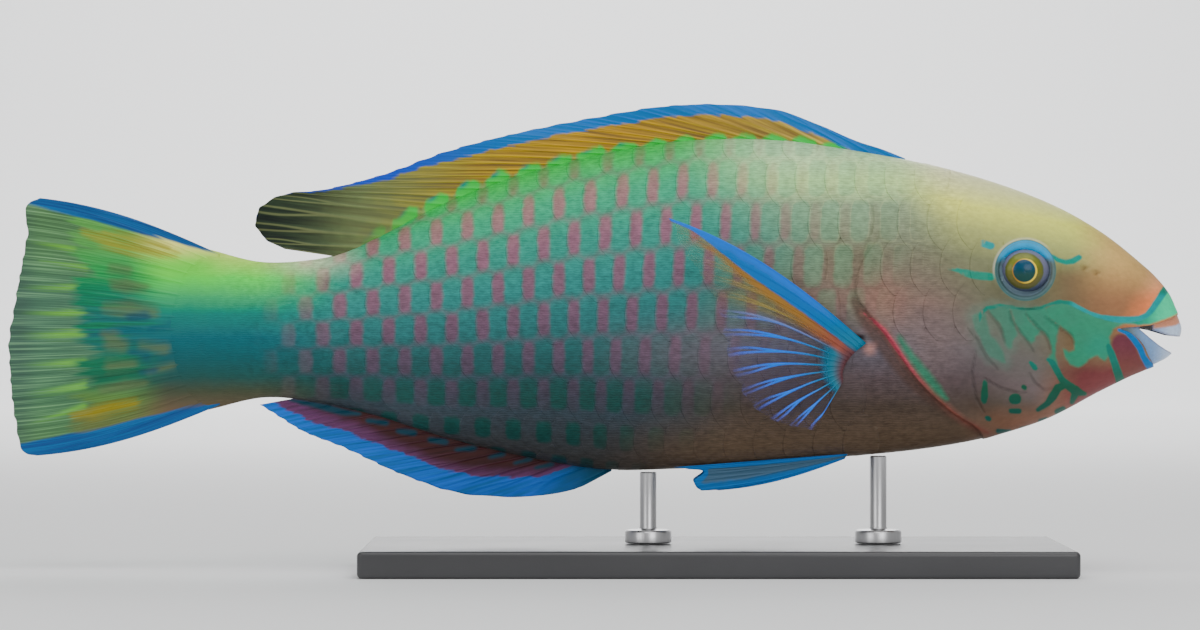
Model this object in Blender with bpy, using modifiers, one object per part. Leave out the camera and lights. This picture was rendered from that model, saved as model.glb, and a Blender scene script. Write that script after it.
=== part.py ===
"""A parrotfish at life size, as a still museum model on a plain display stand.

The fish swims towards +X with its back up. Its outlines are drawn in millimetres as two numbers:
the distance behind the tip of the snout, and the height above a level axis through the mouth.
"""
import math

import bmesh
import bpy
import numpy as np

MM = 0.001
TOTAL_LENGTH = 352.2
AXIS_HEIGHT = 73.6
GAP = 0.3

# The trunk of the fish: back, belly and half width against the distance behind the snout.
BACK = [(0, -1.2), (1.1, 3.0), (3.4, 8.8), (7.4, 14.1), (13.3, 19.5), (24.4, 28.1), (36.4, 35.0),
        (54.4, 42.2), (78.5, 48.9), (99.5, 52.9), (117, 55.4), (135, 56.2), (156, 54.9), (180, 50.2),
        (204, 43.5), (225, 35.1), (241, 26.7), (252, 21.8), (264, 19.6), (276, 19.3), (292, 23.1)]
BELLY = [(0, -1.2), (1.1, -5.4), (3.0, -9.0), (8.2, -12.3), (17.1, -16.2), (24.4, -19.8),
         (42.4, -28.9), (54.4, -32.7), (78.5, -37.4), (114.5, -40.9), (150, -43.4), (174, -43.5),
         (198, -39.6), (223, -33.4), (242, -27.4), (258, -23.8), (275, -22.1), (292, -25.8)]
HALF_WIDTH = [(0, 0), (1.1, 4.6), (3.4, 6.8), (7.4, 8.4), (13.3, 10.4), (24, 13.4), (36, 16.0),
              (48, 18.2), (66, 20.8), (85, 22.6), (110, 23.6), (140, 23.2), (170, 21.0), (200, 17.4),
              (225, 13.4), (245, 10.0), (262, 7.2), (275, 5.3), (292, 3.4)]
SNOUT_BLUNTNESS = 0.5
BACK_SHARPNESS = 1.12
BELLY_SHARPNESS = 0.96

# Where the fish is parted, and the surface of its head.
HEAD_END = 104.0
TRUNK_START = 52.0
STEM_START = 250.0
STEM_END = 292.0
GILL_EDGE = [(82, 60), (83.1, 52.4), (87.5, 37.1), (91.6, 26.7), (97.4, 17.4), (98.6, 9.0),
             (95.4, 3.9), (89.0, -3.8), (79.9, -16.8), (70.0, -25.5), (61.5, -31.0), (57.0, -40.0)]
GILL_PROUD = 1.1
GILL_ROLL = 9.0
GILL_TOP = 30.0

# Mouth: lips, beak plates and the open wedge between them.
MOUTH_CORNER = (19.6, -1.2)
UPPER_LIP = [(13.3, -0.3), (10.5, 0.0), (5.7, 1.3), (1.3, 2.8), (-3.0, 4.0)]
LOWER_LIP = [(17.3, -3.6), (15.1, -5.7), (12.6, -9.5), (10.0, -14.2), (9.0, -18.0)]
UPPER_BITE = [(13.0, -0.8), (9.5, -1.4), (7.3, -2.2), (4.4, -3.1), (1.0, -3.5), (-3.0, -3.2)]
LOWER_BITE = [(13.2, -1.6), (10.5, -3.8), (7.7, -5.9), (5.4, -7.3), (2.9, -8.5), (-3.0, -11.5)]
BEAK_SUNK = 0.6
AHEAD_OF_SNOUT = (-6, -20)
LIP_PROUD = 0.6
LIP_ROLL = 3.0

EYE_CENTRE = (48.7, 15.9)
EYE_RADII = (7.6, 5.2, 6.6)
EYE_SUNK = 2.9
ORBIT_RADIUS = 9.3
ORBIT_PROUD = 0.7
NOSTRILS = [(26.8, 15.5), (30.5, 17.0)]
NOSTRIL_RADIUS = 0.9

# Fins: the base on the body, the outer margin, and how many spines and rays stand in them.
DORSAL_BASE = (86.0, 250.6)
DORSAL_MARGIN = [(90.5, 53.0), (96.5, 54.9), (108.5, 60.0), (120.4, 64.4), (132.4, 66.2),
                 (156.4, 65.8), (174.4, 62.7), (198.4, 57.9), (222.4, 51.6), (240.4, 45.0),
                 (258.4, 40.5), (271, 38.8), (276.4, 35.6), (278.2, 30.9), (275.0, 25.8),
                 (269.0, 22.8)]
DORSAL_RAYS = 19
ANAL_BASE = (174.0, 261.0)
ANAL_MARGIN = [(176.0, -46.8), (180.4, -48.7), (187, -50.5), (195, -51.5), (204.4, -51.6),
               (216.4, -50.6), (234.4, -44.7), (252, -36.6), (264.4, -31.5), (271.0, -27.4),
               (276.6, -23.9)]
ANAL_RAYS = 12
CAUDAL_ROOT = (22.4, -25.0)
CAUDAL_MARGIN = [(345.6, 37.8), (347.4, 34.0), (346.4, 29.4), (347.2, 22.8), (350.2, 6.0),
                 (352.2, -6.0), (351.8, -12.0), (350.8, -22.5), (349.2, -32.0), (348.6, -37.0),
                 (345.8, -39.3)]
CAUDAL_RAYS = 13
PECTORAL_ROOT = [(98.4, -3.8), (102.3, -7.3), (104.9, -11.4), (105.4, -15.6), (104.2, -19.1)]
PECTORAL_TIPS = [(154.5, 31.1), (151.6, 24.0), (147.2, 17.2), (142.2, 9.8), (139.2, 1.5),
                 (137.6, -7.2), (135.0, -14.8), (131.2, -22.2), (123.6, -28.0), (111.8, -31.0)]
PECTORAL_SPREAD = (21.0, 6.0)
PECTORAL_ARCH = 4.4
PECTORAL_RAYS = 14
PELVIC_ROOT = [(102.6, -38.6), (103.4, -40.4)]
PELVIC_TIPS = [(152.6, -42.4), (148.0, -43.0), (143.6, -43.9), (146.4, -46.4), (146.0, -48.4),
               (139.0, -49.4)]
PELVIC_SAG = 1.6
PELVIC_LEAN = (0.7, -2.0)
PELVIC_RAYS = 6

MEMBRANE = 0.6
TIP_RIDGE = 1.0
RAY_HALF_WIDTH = 0.16
SCALLOP = 0.025

BASE_SIZE = (210.0, 92.0, 8.0)
BASE_CORNER = 1.5
ROD_DIAMETER = 5.0
ROD_PLACES = {"front": 91.0, "rear": 160.0}
BASE_MIDDLE = 140.0
FOOT_DIAMETER = 14.0
FOOT_HEIGHT = 4.0

COLOURS = {
    "head": (0.42, 0.36, 0.26, 1), "trunk": (0.33, 0.27, 0.25, 1), "stem": (0.12, 0.35, 0.30, 1),
    "beak": (0.75, 0.74, 0.68, 1), "eye": (0.18, 0.20, 0.10, 1), "fin": (0.15, 0.35, 0.55, 1),
    "base": (0.05, 0.05, 0.055, 1), "rod": (0.55, 0.55, 0.56, 1),
}


def smooth_profile(points, bluntness=SNOUT_BLUNTNESS):
    """A smooth function through the points; the power rounds it at the snout."""
    at = np.array([p[0] for p in points], float) ** bluntness
    value = np.array([p[1] for p in points], float)
    slope = np.gradient(value, at)

    def profile(distance):
        x = np.clip(np.asarray(distance, float), 0, points[-1][0]) ** bluntness
        i = np.clip(np.searchsorted(at, x, side="right") - 1, 0, len(at) - 2)
        step = at[i + 1] - at[i]
        t = (x - at[i]) / step
        return ((1 + 2 * t) * (1 - t) ** 2 * value[i] + t * (1 - t) ** 2 * step * slope[i]
                + t * t * (3 - 2 * t) * value[i + 1] + t * t * (t - 1) * step * slope[i + 1])
    return profile


def smooth_path(points):
    """A smooth path through the points, as a function of the share of its length."""
    points = np.array(points, float)
    length = np.concatenate([[0], np.cumsum(np.linalg.norm(np.diff(points, axis=0), axis=1))])
    share = length / length[-1]
    across = smooth_profile(list(zip(share, points[:, 0])), 1.0)
    up = smooth_profile(list(zip(share, points[:, 1])), 1.0)
    return lambda u: np.array([across(u), up(u)])


back = smooth_profile(BACK)
belly = smooth_profile(BELLY)
half_width = smooth_profile(HALF_WIDTH)
gill_edge = smooth_path(GILL_EDGE)
gill_line = np.array([gill_edge(u) for u in np.linspace(0, 1, 60)])
lips = smooth_path(UPPER_LIP[::-1] + [MOUTH_CORNER] + LOWER_LIP)
lip_line = np.array([lips(u) for u in np.linspace(0, 1, 60)])


def place(distance, side, height):
    """Outline numbers in millimetres to model coordinates in metres."""
    return ((TOTAL_LENGTH / 2 - distance) * MM, side * MM, (AXIS_HEIGHT + height) * MM)


def ramp(value, low, high):
    """0 below low, 1 above high, smooth between."""
    t = min(max((value - low) / (high - low), 0.0), 1.0)
    return t * t * (3 - 2 * t)


def body_side(distance, height):
    """Half width of the body at a place of its side."""
    top, bottom = float(back(distance)), float(belly(distance))
    middle = (top + bottom) / 2
    reach, power = ((top - middle, BACK_SHARPNESS) if height > middle
                    else (middle - bottom, BELLY_SHARPNESS))
    rise = min(abs(height - middle) / reach, 1.0)
    return float(half_width(distance)) * math.sqrt(1 - rise ** 2) ** power


def gill_swell(distance, height):
    """The gill cover stands proud of the body along its rear edge."""
    ahead = np.interp(-height, -gill_line[:, 1], gill_line[:, 0]) - distance
    fade = ramp(-height, -GILL_TOP, -GILL_TOP + 12)
    return GILL_PROUD * fade * (1 - ramp(ahead, 0, GILL_ROLL))


def orbit_swell(distance, height):
    """A low raised ring round the eye."""
    off = math.hypot(distance - EYE_CENTRE[0], (height - EYE_CENTRE[1]) * 1.05) - ORBIT_RADIUS
    return ORBIT_PROUD * math.exp(-(off / 2.2) ** 2)


def lip_swell(distance, height):
    """The soft lips are rolled outwards round the beak."""
    off = min(np.hypot(lip_line[:, 0] - distance, lip_line[:, 1] - height))
    return LIP_PROUD * (1 - ramp(off, 0, LIP_ROLL))


def head_swell(distance, height):
    return (gill_swell(distance, height) + orbit_swell(distance, height)
            + lip_swell(distance, height))


def body_loft(stations, sides, inset=0.0, swell=None):
    """A closed loft of body sections; inset draws every section inwards."""
    mesh = bmesh.new()
    rings = []
    for distance in stations:
        top, bottom = float(back(distance)) - inset, float(belly(distance)) + inset
        middle = (top + bottom) / 2
        ring = []
        for k in range(sides):
            turn = 2 * math.pi * k / sides
            up, out = math.cos(turn), math.sin(turn)
            power = BACK_SHARPNESS if up > 0 else BELLY_SHARPNESS
            height = middle + (top - middle) * up
            side = max(float(half_width(distance)) - inset, 0.4) * math.copysign(abs(out) ** power, out)
            if swell and abs(out) > 1e-6:
                side += math.copysign(swell(distance, height) * abs(out) ** 0.5, out)
            ring.append(mesh.verts.new(place(distance, side, height)))
        rings.append(ring)
    for ring, behind in zip(rings, rings[1:]):
        for k in range(sides):
            n = (k + 1) % sides
            mesh.faces.new((ring[k], behind[k], behind[n], ring[n]))
    mesh.faces.new(rings[0])
    mesh.faces.new(reversed(rings[-1]))
    return mesh


def add_object(name, mesh, collection, material=None):
    """Turns an edited mesh into an object with faces pointing out."""
    mesh.normal_update()
    bmesh.ops.recalc_face_normals(mesh, faces=mesh.faces)
    data = bpy.data.meshes.new(name)
    mesh.to_mesh(data)
    mesh.free()
    body = bpy.data.objects.new(name, data)
    collection.objects.link(body)
    if material:
        data.materials.append(material)
    data.shade_smooth()
    data.set_sharp_from_angle(angle=math.radians(40))
    return body


def add_cutter(name, outline):
    """An outline in the plane of the side view, run through the whole width of the fish."""
    curve = bpy.data.curves.new(name, "CURVE")
    curve.dimensions = "2D"
    curve.fill_mode = "BOTH"
    curve.extrude = 40 * MM
    spline = curve.splines.new("POLY")
    spline.points.add(len(outline) - 1)
    for point, (distance, height) in zip(spline.points, outline):
        x, _, z = place(distance, 0, height)
        point.co = (x, z, 0, 1)
    spline.use_cyclic_u = True
    drawn = bpy.data.objects.new(name, curve)
    cutters.objects.link(drawn)
    drawn.rotation_euler = (math.pi / 2, 0, 0)
    bpy.context.view_layer.update()
    solid = bpy.data.meshes.new_from_object(drawn.evaluated_get(bpy.context.evaluated_depsgraph_get()))
    mesh = bmesh.new()
    mesh.from_mesh(solid)
    bmesh.ops.remove_doubles(mesh, verts=mesh.verts, dist=1e-6)
    bmesh.ops.recalc_face_normals(mesh, faces=mesh.faces)
    mesh.to_mesh(solid)
    mesh.free()
    cutter = bpy.data.objects.new(name + "_cutter", solid)
    cutters.objects.link(cutter)
    cutter.matrix_world = drawn.matrix_world.copy()
    bpy.data.objects.remove(drawn)
    bpy.data.curves.remove(curve)
    cutter.hide_render = True
    cutter.display_type = "WIRE"
    return cutter


def cut(body, cutter, operation="DIFFERENCE"):
    """Adds a Boolean modifier with the exact solver."""
    modifier = body.modifiers.new(cutter.name, "BOOLEAN")
    modifier.operation = operation
    modifier.object = cutter


def ellipsoid(name, centre, radii, collection, segments, material=None):
    """A ball with its pole pointing sideways, as an eye's does."""
    mesh = bmesh.new()
    bmesh.ops.create_uvsphere(mesh, u_segments=segments, v_segments=segments // 2, radius=1)
    for vert in mesh.verts:
        x, y, z = vert.co
        vert.co = [c + r * MM * v for c, r, v in zip(centre, radii, (x, -z, y))]
    return add_object(name, mesh, collection, material)


def add_fin(name, rays, root, tip, thickness, rows, arch=0.0, notch=SCALLOP):
    """A membrane with its rays as ridges in its own surface, closed and thick at the root.

    root and tip give the points (distance, side, height) of a share u of the fin; thickness gives
    the membrane and the ridge at a share v of the way out; arch bends the rays upwards.
    """
    pitch = 1 / (rays - 1)
    columns = [(0.0, True)]
    for ray in range(rays - 1):
        start = ray * pitch
        columns.append((start + RAY_HALF_WIDTH * pitch, False))
        columns.append((start + 0.5 * pitch, False))
        columns.append((start + (1 - RAY_HALF_WIDTH) * pitch, False))
        columns.append((start + pitch, True))
    mesh = bmesh.new()
    faces = []
    for facing in (-1, 1):
        grid = []
        for u, is_ray in columns:
            start, end = np.array(root(u)), np.array(tip(u))
            line = []
            for row in range(rows + 1):
                v = row / rows
                reach = v if is_ray else v * (1 - notch * v)
                point = start + (end - start) * reach
                bend = arch(u) if callable(arch) else arch
                point[2] += bend * 4 * v * (1 - v)
                membrane, ridge = thickness(v)
                half = (ridge if is_ray else membrane) / 2
                line.append(mesh.verts.new(place(point[0], point[1] + facing * half, point[2])))
            grid.append(line)
        faces.append(grid)
    near, far = faces
    last = len(columns) - 1
    for i in range(last):
        for j in range(rows):
            for grid, turned in ((near, False), (far, True)):
                corners = [grid[i][j], grid[i + 1][j], grid[i + 1][j + 1], grid[i][j + 1]]
                for three in ((0, 1, 2), (0, 2, 3)):
                    picked = [corners[k] for k in three]
                    mesh.faces.new(picked[::-1] if turned else picked)
        mesh.faces.new((near[i][0], far[i][0], far[i + 1][0], near[i + 1][0]))
        mesh.faces.new((near[i][rows], near[i + 1][rows], far[i + 1][rows], far[i][rows]))
    for j in range(rows):
        mesh.faces.new((near[0][j], near[0][j + 1], far[0][j + 1], far[0][j]))
        mesh.faces.new((near[last][j], far[last][j], far[last][j + 1], near[last][j + 1]))
    return add_object(name, mesh, parts, materials["fin"])


def tapered(root_membrane, root_ridge, tip_ridge=TIP_RIDGE):
    """Thickness of a fin from its root to its margin."""
    def thickness(v):
        return (root_membrane + (MEMBRANE - root_membrane) * min(v * 2, 1),
                root_ridge + (tip_ridge - root_ridge) * v)
    return thickness


def straight_between(stations, profile):
    """The body's own faceted edge, so that what stands on it meets it evenly."""
    heights = [float(profile(s)) for s in stations]
    return lambda distance: float(np.interp(distance, stations, heights))


for item in list(bpy.data.objects):
    bpy.data.objects.remove(item)
parts = bpy.data.collections.new("parrotfish")
cutters = bpy.data.collections.new("cutters")
for collection in (parts, cutters):
    bpy.context.scene.collection.children.link(collection)

materials = {}
for slot, colour in COLOURS.items():
    material = bpy.data.materials.new(slot)
    material.use_nodes = True
    surface = material.node_tree.nodes["Principled BSDF"]
    surface.inputs["Base Color"].default_value = colour
    surface.inputs["Roughness"].default_value = 0.3 if slot in ("eye", "rod") else 0.5
    surface.inputs["Metallic"].default_value = 1.0 if slot == "rod" else 0.0
    materials[slot] = material

# Head, with the mouth, the beak plates, the eyes and the nostrils.
SNOUT_STATIONS = [0.02, 0.3, 1.0, 2.0, 3.4, 5.2, 7.2, 9.2, 11.2, 13.2]
HEAD_STATIONS = SNOUT_STATIONS + list(np.arange(15.4, HEAD_END + 1, 3.4))
HEAD_SIDES = 36
head = add_object("head", body_loft(HEAD_STATIONS, HEAD_SIDES, swell=head_swell), parts,
                  materials["head"])
gill_outline = [tuple(p) for p in gill_line]
cut(head, add_cutter("gill_front", gill_outline + [(-9, -60), (-9, 80)]), "INTERSECT")
mouth_outline = [MOUTH_CORNER] + UPPER_LIP + [AHEAD_OF_SNOUT] + LOWER_LIP[::-1]
cut(head, add_cutter("mouth", mouth_outline))

beak_outlines = {
    "beak_upper": [(12.8, -0.75)] + [(s, h - GAP) for s, h in UPPER_LIP] + UPPER_BITE[::-1],
    "beak_lower": LOWER_BITE + [(s - GAP * 1.4, h) for s, h in LOWER_LIP[::-1][:-1]],
}
for name, outline in beak_outlines.items():
    beak = add_object(name, body_loft(SNOUT_STATIONS + [16.0, 19.0], 28, inset=BEAK_SUNK),
                      parts, materials["beak"])
    cut(beak, add_cutter(name, outline), "INTERSECT")

for side, sign in (("right", -1), ("left", 1)):
    surface = body_side(*EYE_CENTRE)
    centre = place(EYE_CENTRE[0], sign * (surface - EYE_SUNK), EYE_CENTRE[1])
    ellipsoid("eye_" + side, centre, EYE_RADII, parts, 22, materials["eye"])
    socket = ellipsoid("socket_" + side, centre, [r + GAP for r in EYE_RADII], cutters, 22)
    pits = [socket]
    for number, (distance, height) in enumerate(NOSTRILS, 1):
        pit_centre = place(distance, sign * body_side(distance, height), height)
        pits.append(ellipsoid("nostril_%s_%d" % (side, number), pit_centre,
                              [NOSTRIL_RADIUS] * 3, cutters, 10))
    for pit in pits:
        pit.hide_render = True
        pit.display_type = "WIRE"
        cut(head, pit)

# Trunk and tail stem. The trunk passes under the rear edge of the gill covers.
TRUNK_STATIONS = list(np.arange(TRUNK_START, STEM_START - GAP, 6.6)) + [STEM_START - GAP]
STEM_STATIONS = list(np.linspace(STEM_START, STEM_END, 9))
BODY_SIDES = 32
trunk = add_object("trunk", body_loft(TRUNK_STATIONS, BODY_SIDES), parts, materials["trunk"])
behind_gill = [(s + GAP * 1.4, h) for s, h in gill_outline]
cut(trunk, add_cutter("gill_rear", behind_gill + [(20, -60), (20, 80)]))
add_object("tail_stem", body_loft(STEM_STATIONS, BODY_SIDES), parts, materials["stem"])

back_edge = straight_between(TRUNK_STATIONS + STEM_STATIONS, back)
belly_edge = straight_between(TRUNK_STATIONS + STEM_STATIONS, belly)

# Unpaired fins, in the plane of the body.
dorsal_margin = smooth_path(DORSAL_MARGIN)
anal_margin = smooth_path(ANAL_MARGIN)
caudal_margin = smooth_path(CAUDAL_MARGIN)


def dorsal_root(u):
    distance = DORSAL_BASE[0] + (DORSAL_BASE[1] - DORSAL_BASE[0]) * u
    return distance, 0.0, back_edge(distance) + GAP


def anal_root(u):
    distance = ANAL_BASE[0] + (ANAL_BASE[1] - ANAL_BASE[0]) * u
    return distance, 0.0, belly_edge(distance) - GAP


def caudal_root(u):
    return STEM_END + GAP, 0.0, CAUDAL_ROOT[0] + (CAUDAL_ROOT[1] - CAUDAL_ROOT[0]) * u


def in_plane(margin, crowd=1.0):
    """Ray tips along a margin; crowd under 1 leans the rays of the middle rearwards."""
    def tip(u):
        distance, height = margin(u ** crowd)
        return distance, 0.0, height
    return tip


add_fin("dorsal_fin", DORSAL_RAYS, dorsal_root, in_plane(dorsal_margin, 0.84), tapered(1.4, 2.4), 3)
add_fin("anal_fin", ANAL_RAYS, anal_root, in_plane(anal_margin, 0.84), tapered(1.4, 2.2), 3)
add_fin("caudal_fin", CAUDAL_RAYS, caudal_root, in_plane(caudal_margin), tapered(2.2, 3.2), 5,
        arch=lambda u: 2.6 * (1 - 2 * u), notch=0.012)

# Paired fins, each leaving the body's side face to face with it.
pectoral_root = smooth_path(PECTORAL_ROOT)
pectoral_tips = smooth_path(PECTORAL_TIPS)
pelvic_root = smooth_path(PELVIC_ROOT)
pelvic_tips = smooth_path(PELVIC_TIPS)
PECTORAL_THICKNESS = (1.2, 1.8)
PELVIC_THICKNESS = (1.2, 1.7)
for side, sign in (("right", -1), ("left", 1)):
    def pectoral_start(u):
        distance, height = pectoral_root(u)
        out = body_side(distance, height) + GAP + PECTORAL_THICKNESS[1] / 2
        return distance, sign * out, height

    def pectoral_end(u):
        distance, height = pectoral_tips(u)
        spread = PECTORAL_SPREAD[0] + (PECTORAL_SPREAD[1] - PECTORAL_SPREAD[0]) * u
        return distance, sign * (abs(pectoral_start(u)[1]) + spread), height

    def pelvic_start(u):
        distance, height = pelvic_root(u)
        out = body_side(distance, PELVIC_ROOT[0][1]) + GAP + PELVIC_THICKNESS[1] / 2
        return distance, sign * out, height

    def pelvic_end(u):
        distance, height = pelvic_tips(u)
        lean = PELVIC_LEAN[0] + (PELVIC_LEAN[1] - PELVIC_LEAN[0]) * u
        return distance, sign * (abs(pelvic_start(0)[1]) + lean), height

    add_fin("pectoral_fin_" + side, PECTORAL_RAYS, pectoral_start, pectoral_end,
            tapered(*PECTORAL_THICKNESS), 4, arch=lambda u: PECTORAL_ARCH * (1 - u), notch=0.03)
    add_fin("pelvic_fin_" + side, PELVIC_RAYS, pelvic_start, pelvic_end,
            tapered(*PELVIC_THICKNESS), 4, arch=lambda u: -PELVIC_SAG * u, notch=0.02)

# The display stand: a flat base and two short rods with round feet.
base_mesh = bmesh.new()
bmesh.ops.create_cube(base_mesh, size=1)
for vert in base_mesh.verts:
    middle = place(BASE_MIDDLE, 0, 0)[0]
    vert.co = (middle + vert.co.x * BASE_SIZE[0] * MM, vert.co.y * BASE_SIZE[1] * MM,
               (vert.co.z + 0.5) * BASE_SIZE[2] * MM)
base = add_object("stand_base", base_mesh, parts, materials["base"])
rounding = base.modifiers.new("rounded_edges", "BEVEL")
rounding.width = BASE_CORNER * MM
rounding.segments = 2

belly_cutter = add_object("belly_cutter", body_loft(TRUNK_STATIONS, BODY_SIDES, inset=-GAP), cutters)
belly_cutter.hide_render = True
belly_cutter.display_type = "WIRE"
for name, distance in ROD_PLACES.items():
    foot = BASE_SIZE[2] + GAP
    radius = ROD_DIAMETER / 2
    top = AXIS_HEIGHT + belly_edge(distance) + 4
    turned = [(0.01, top), (radius, top), (radius, foot + FOOT_HEIGHT),
              (FOOT_DIAMETER / 2 - 1, foot + FOOT_HEIGHT), (FOOT_DIAMETER / 2, foot + FOOT_HEIGHT - 1),
              (FOOT_DIAMETER / 2, foot), (0.01, foot)]
    rod_mesh = bmesh.new()
    centre = place(distance, 0, 0)[0]
    sectors = 20
    rings = []
    for out, height in turned:
        rings.append([rod_mesh.verts.new((centre + out * MM * math.cos(2 * math.pi * k / sectors),
                                          out * MM * math.sin(2 * math.pi * k / sectors),
                                          height * MM)) for k in range(sectors)])
    for ring, below in zip(rings, rings[1:]):
        for k in range(sectors):
            n = (k + 1) % sectors
            rod_mesh.faces.new((ring[k], below[k], below[n], ring[n]))
    rod_mesh.faces.new(rings[0])
    rod_mesh.faces.new(rings[-1][::-1])
    rod = add_object("stand_rod_" + name, rod_mesh, parts, materials["rod"])
    cut(rod, belly_cutter)
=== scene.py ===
import math

import bmesh
import bpy
import numpy as np
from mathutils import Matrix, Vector


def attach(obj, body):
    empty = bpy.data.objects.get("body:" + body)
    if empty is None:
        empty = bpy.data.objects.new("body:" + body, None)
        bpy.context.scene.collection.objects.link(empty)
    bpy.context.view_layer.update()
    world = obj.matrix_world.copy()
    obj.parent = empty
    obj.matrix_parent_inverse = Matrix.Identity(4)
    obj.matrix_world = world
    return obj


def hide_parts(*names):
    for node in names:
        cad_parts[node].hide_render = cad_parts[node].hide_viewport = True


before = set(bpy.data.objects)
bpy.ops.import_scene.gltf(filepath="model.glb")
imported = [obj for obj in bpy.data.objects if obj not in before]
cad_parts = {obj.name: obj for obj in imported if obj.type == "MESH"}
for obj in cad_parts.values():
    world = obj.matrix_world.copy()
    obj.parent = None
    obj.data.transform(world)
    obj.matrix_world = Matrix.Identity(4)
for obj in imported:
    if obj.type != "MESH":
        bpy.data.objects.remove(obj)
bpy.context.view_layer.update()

# Room: a plain pale floor that curves up into a backdrop, soft panels of light, and a long lens
# level with the fish's side, so that the picture is 360 mm wide at the fish. None of it is part
# of the model, which takes only the aim and the scale of the picture from it. Sizes in metres.
PHOTO_WIDTH, PHOTO_HEIGHT, PIXEL = 1200, 630, 0.0003
AIM, CAMERA_DISTANCE, SENSOR = Vector((0.00165, 0.0, 0.0766)), 1.35, 36
FLOOR_HALF, FLOOR_FRONT, FLOOR_BACK = 3.2, -3.0, 2.6
BACKDROP_RADIUS, BACKDROP_TOP, BACKDROP_STEPS = 0.8, 3.0, 12
FLOOR_COLOUR, FLOOR_ROUGHNESS = (0.90, 0.905, 0.91, 1), 0.9
SKY_COLOUR, SKY_STRENGTH = (1.0, 1.0, 1.0, 1), 0.46
# Panels of light: name, place, what each is aimed at, size, and power in watts.
PANELS = [("panel_above", (0.15, -0.35, 1.1), (0.0, 0.0, 0.06), 1.0, 7.0),
          ("panel_front", (0.5, -1.3, 0.6), (0.05, 0.0, 0.08), 0.7, 5.0),
          ("panel_tail", (-0.9, -1.0, 0.5), (-0.05, 0.0, 0.08), 0.6, 2.8),
          ("panel_back", (0.0, 1.3, 1.0), (0.0, 0.0, 0.05), 1.0, 9.0),
          ("panel_wall", (0.0, 2.1, 1.6), (0.0, 3.3, 0.3), 1.4, 52.0)]


def make_object(name, data):
    piece = bpy.data.objects.new(name, data)
    bpy.context.scene.collection.objects.link(piece)
    return piece


def floor_and_backdrop():
    """One sheet that runs level and then up through a quarter round."""
    profile = [(FLOOR_FRONT, 0.0)]
    for step in range(BACKDROP_STEPS + 1):
        turn = math.pi / 2 * step / BACKDROP_STEPS
        profile.append((FLOOR_BACK + BACKDROP_RADIUS * math.sin(turn),
                        BACKDROP_RADIUS * (1 - math.cos(turn))))
    profile.append((FLOOR_BACK + BACKDROP_RADIUS, BACKDROP_TOP))
    points = [(x, y, z) for y, z in profile for x in (-FLOOR_HALF, FLOOR_HALF)]
    faces = [(2 * i, 2 * i + 1, 2 * i + 3, 2 * i + 2) for i in range(len(profile) - 1)]
    mesh = bpy.data.meshes.new("floor")
    mesh.from_pydata(points, [], faces)
    mesh.shade_smooth()
    return make_object("floor", mesh)


def pale_floor():
    material = bpy.data.materials.new("pale_floor")
    material.use_nodes = True
    surface = material.node_tree.nodes["Principled BSDF"]
    surface.inputs["Base Color"].default_value = FLOOR_COLOUR
    surface.inputs["Roughness"].default_value = FLOOR_ROUGHNESS
    return material


lens = bpy.data.cameras.new("camera")
lens.sensor_width = SENSOR
lens.lens = SENSOR * CAMERA_DISTANCE / (PHOTO_WIDTH * PIXEL)
lens.clip_start, lens.clip_end = 0.05, 20
camera = make_object("camera", lens)
camera.location = AIM + Vector((0, -CAMERA_DISTANCE, 0))
camera.rotation_euler = (math.pi / 2, 0, 0)
bpy.context.scene.camera = camera

floor = floor_and_backdrop()
floor.data.materials.append(pale_floor())

world = bpy.data.worlds.new("room")
world.use_nodes = True
world.node_tree.nodes["Background"].inputs["Color"].default_value = SKY_COLOUR
world.node_tree.nodes["Background"].inputs["Strength"].default_value = SKY_STRENGTH
bpy.context.scene.world = world

for name, place_at, aim_at, size, power in PANELS:
    light = bpy.data.lights.new(name, "AREA")
    light.size = size
    light.energy = power
    panel = make_object(name, light)
    panel.location = place_at
    panel.rotation_euler = (Vector(aim_at) - Vector(place_at)).to_track_quat("-Z", "Y").to_euler()


# Skin: one sheet of scaly skin over head, trunk and tail stem, open at the lips, with the edge of
# the gill cover standing over the shoulder, a raised ring round each eye, and nostrils. Sizes are
# in millimetres: distance behind the snout, and height over the axis through the snout.
MM = 0.001
TOTAL_LENGTH, AXIS_HEIGHT = 352.2, 73.6
BACK = [(0, -1.2), (1.1, 3.0), (3.4, 8.8), (7.4, 14.1), (13.3, 19.5), (24.4, 28.1), (36.4, 35.0),
        (54.4, 42.2), (78.5, 48.9), (99.5, 52.9), (117, 55.4), (135, 56.2), (156, 54.9), (180, 50.2),
        (204, 43.5), (225, 35.1), (241, 26.7), (252, 21.8), (264, 19.6), (276, 19.3), (292, 23.1)]
BELLY = [(0, -1.2), (1.1, -5.4), (3.0, -9.0), (8.2, -12.3), (17.1, -16.2), (24.4, -19.8),
         (42.4, -28.9), (54.4, -32.7), (78.5, -37.4), (114.5, -40.9), (150, -43.4), (174, -43.5),
         (198, -39.6), (223, -33.4), (242, -27.4), (258, -23.8), (275, -22.1), (292, -25.8)]
HALF_WIDTH = [(0, 0), (1.1, 4.6), (3.4, 6.8), (7.4, 8.4), (13.3, 10.4), (24, 13.4), (36, 16.0),
              (48, 18.2), (66, 20.8), (85, 22.6), (110, 23.6), (140, 23.2), (170, 21.0), (200, 17.4),
              (225, 13.4), (245, 10.0), (262, 7.2), (275, 5.3), (292, 3.4)]
BACK_SHARPNESS, BELLY_SHARPNESS = 1.12, 0.96
STEM_END, SKIN_END = 292.0, 305.0
GILL_EDGE = [(82, 60), (83.1, 52.4), (87.5, 37.1), (91.6, 26.7), (97.4, 17.4), (98.6, 9.0),
             (95.4, 3.9), (89.0, -3.8), (79.9, -16.8), (70.0, -25.5), (61.5, -31.0), (57.0, -40.0)]
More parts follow.
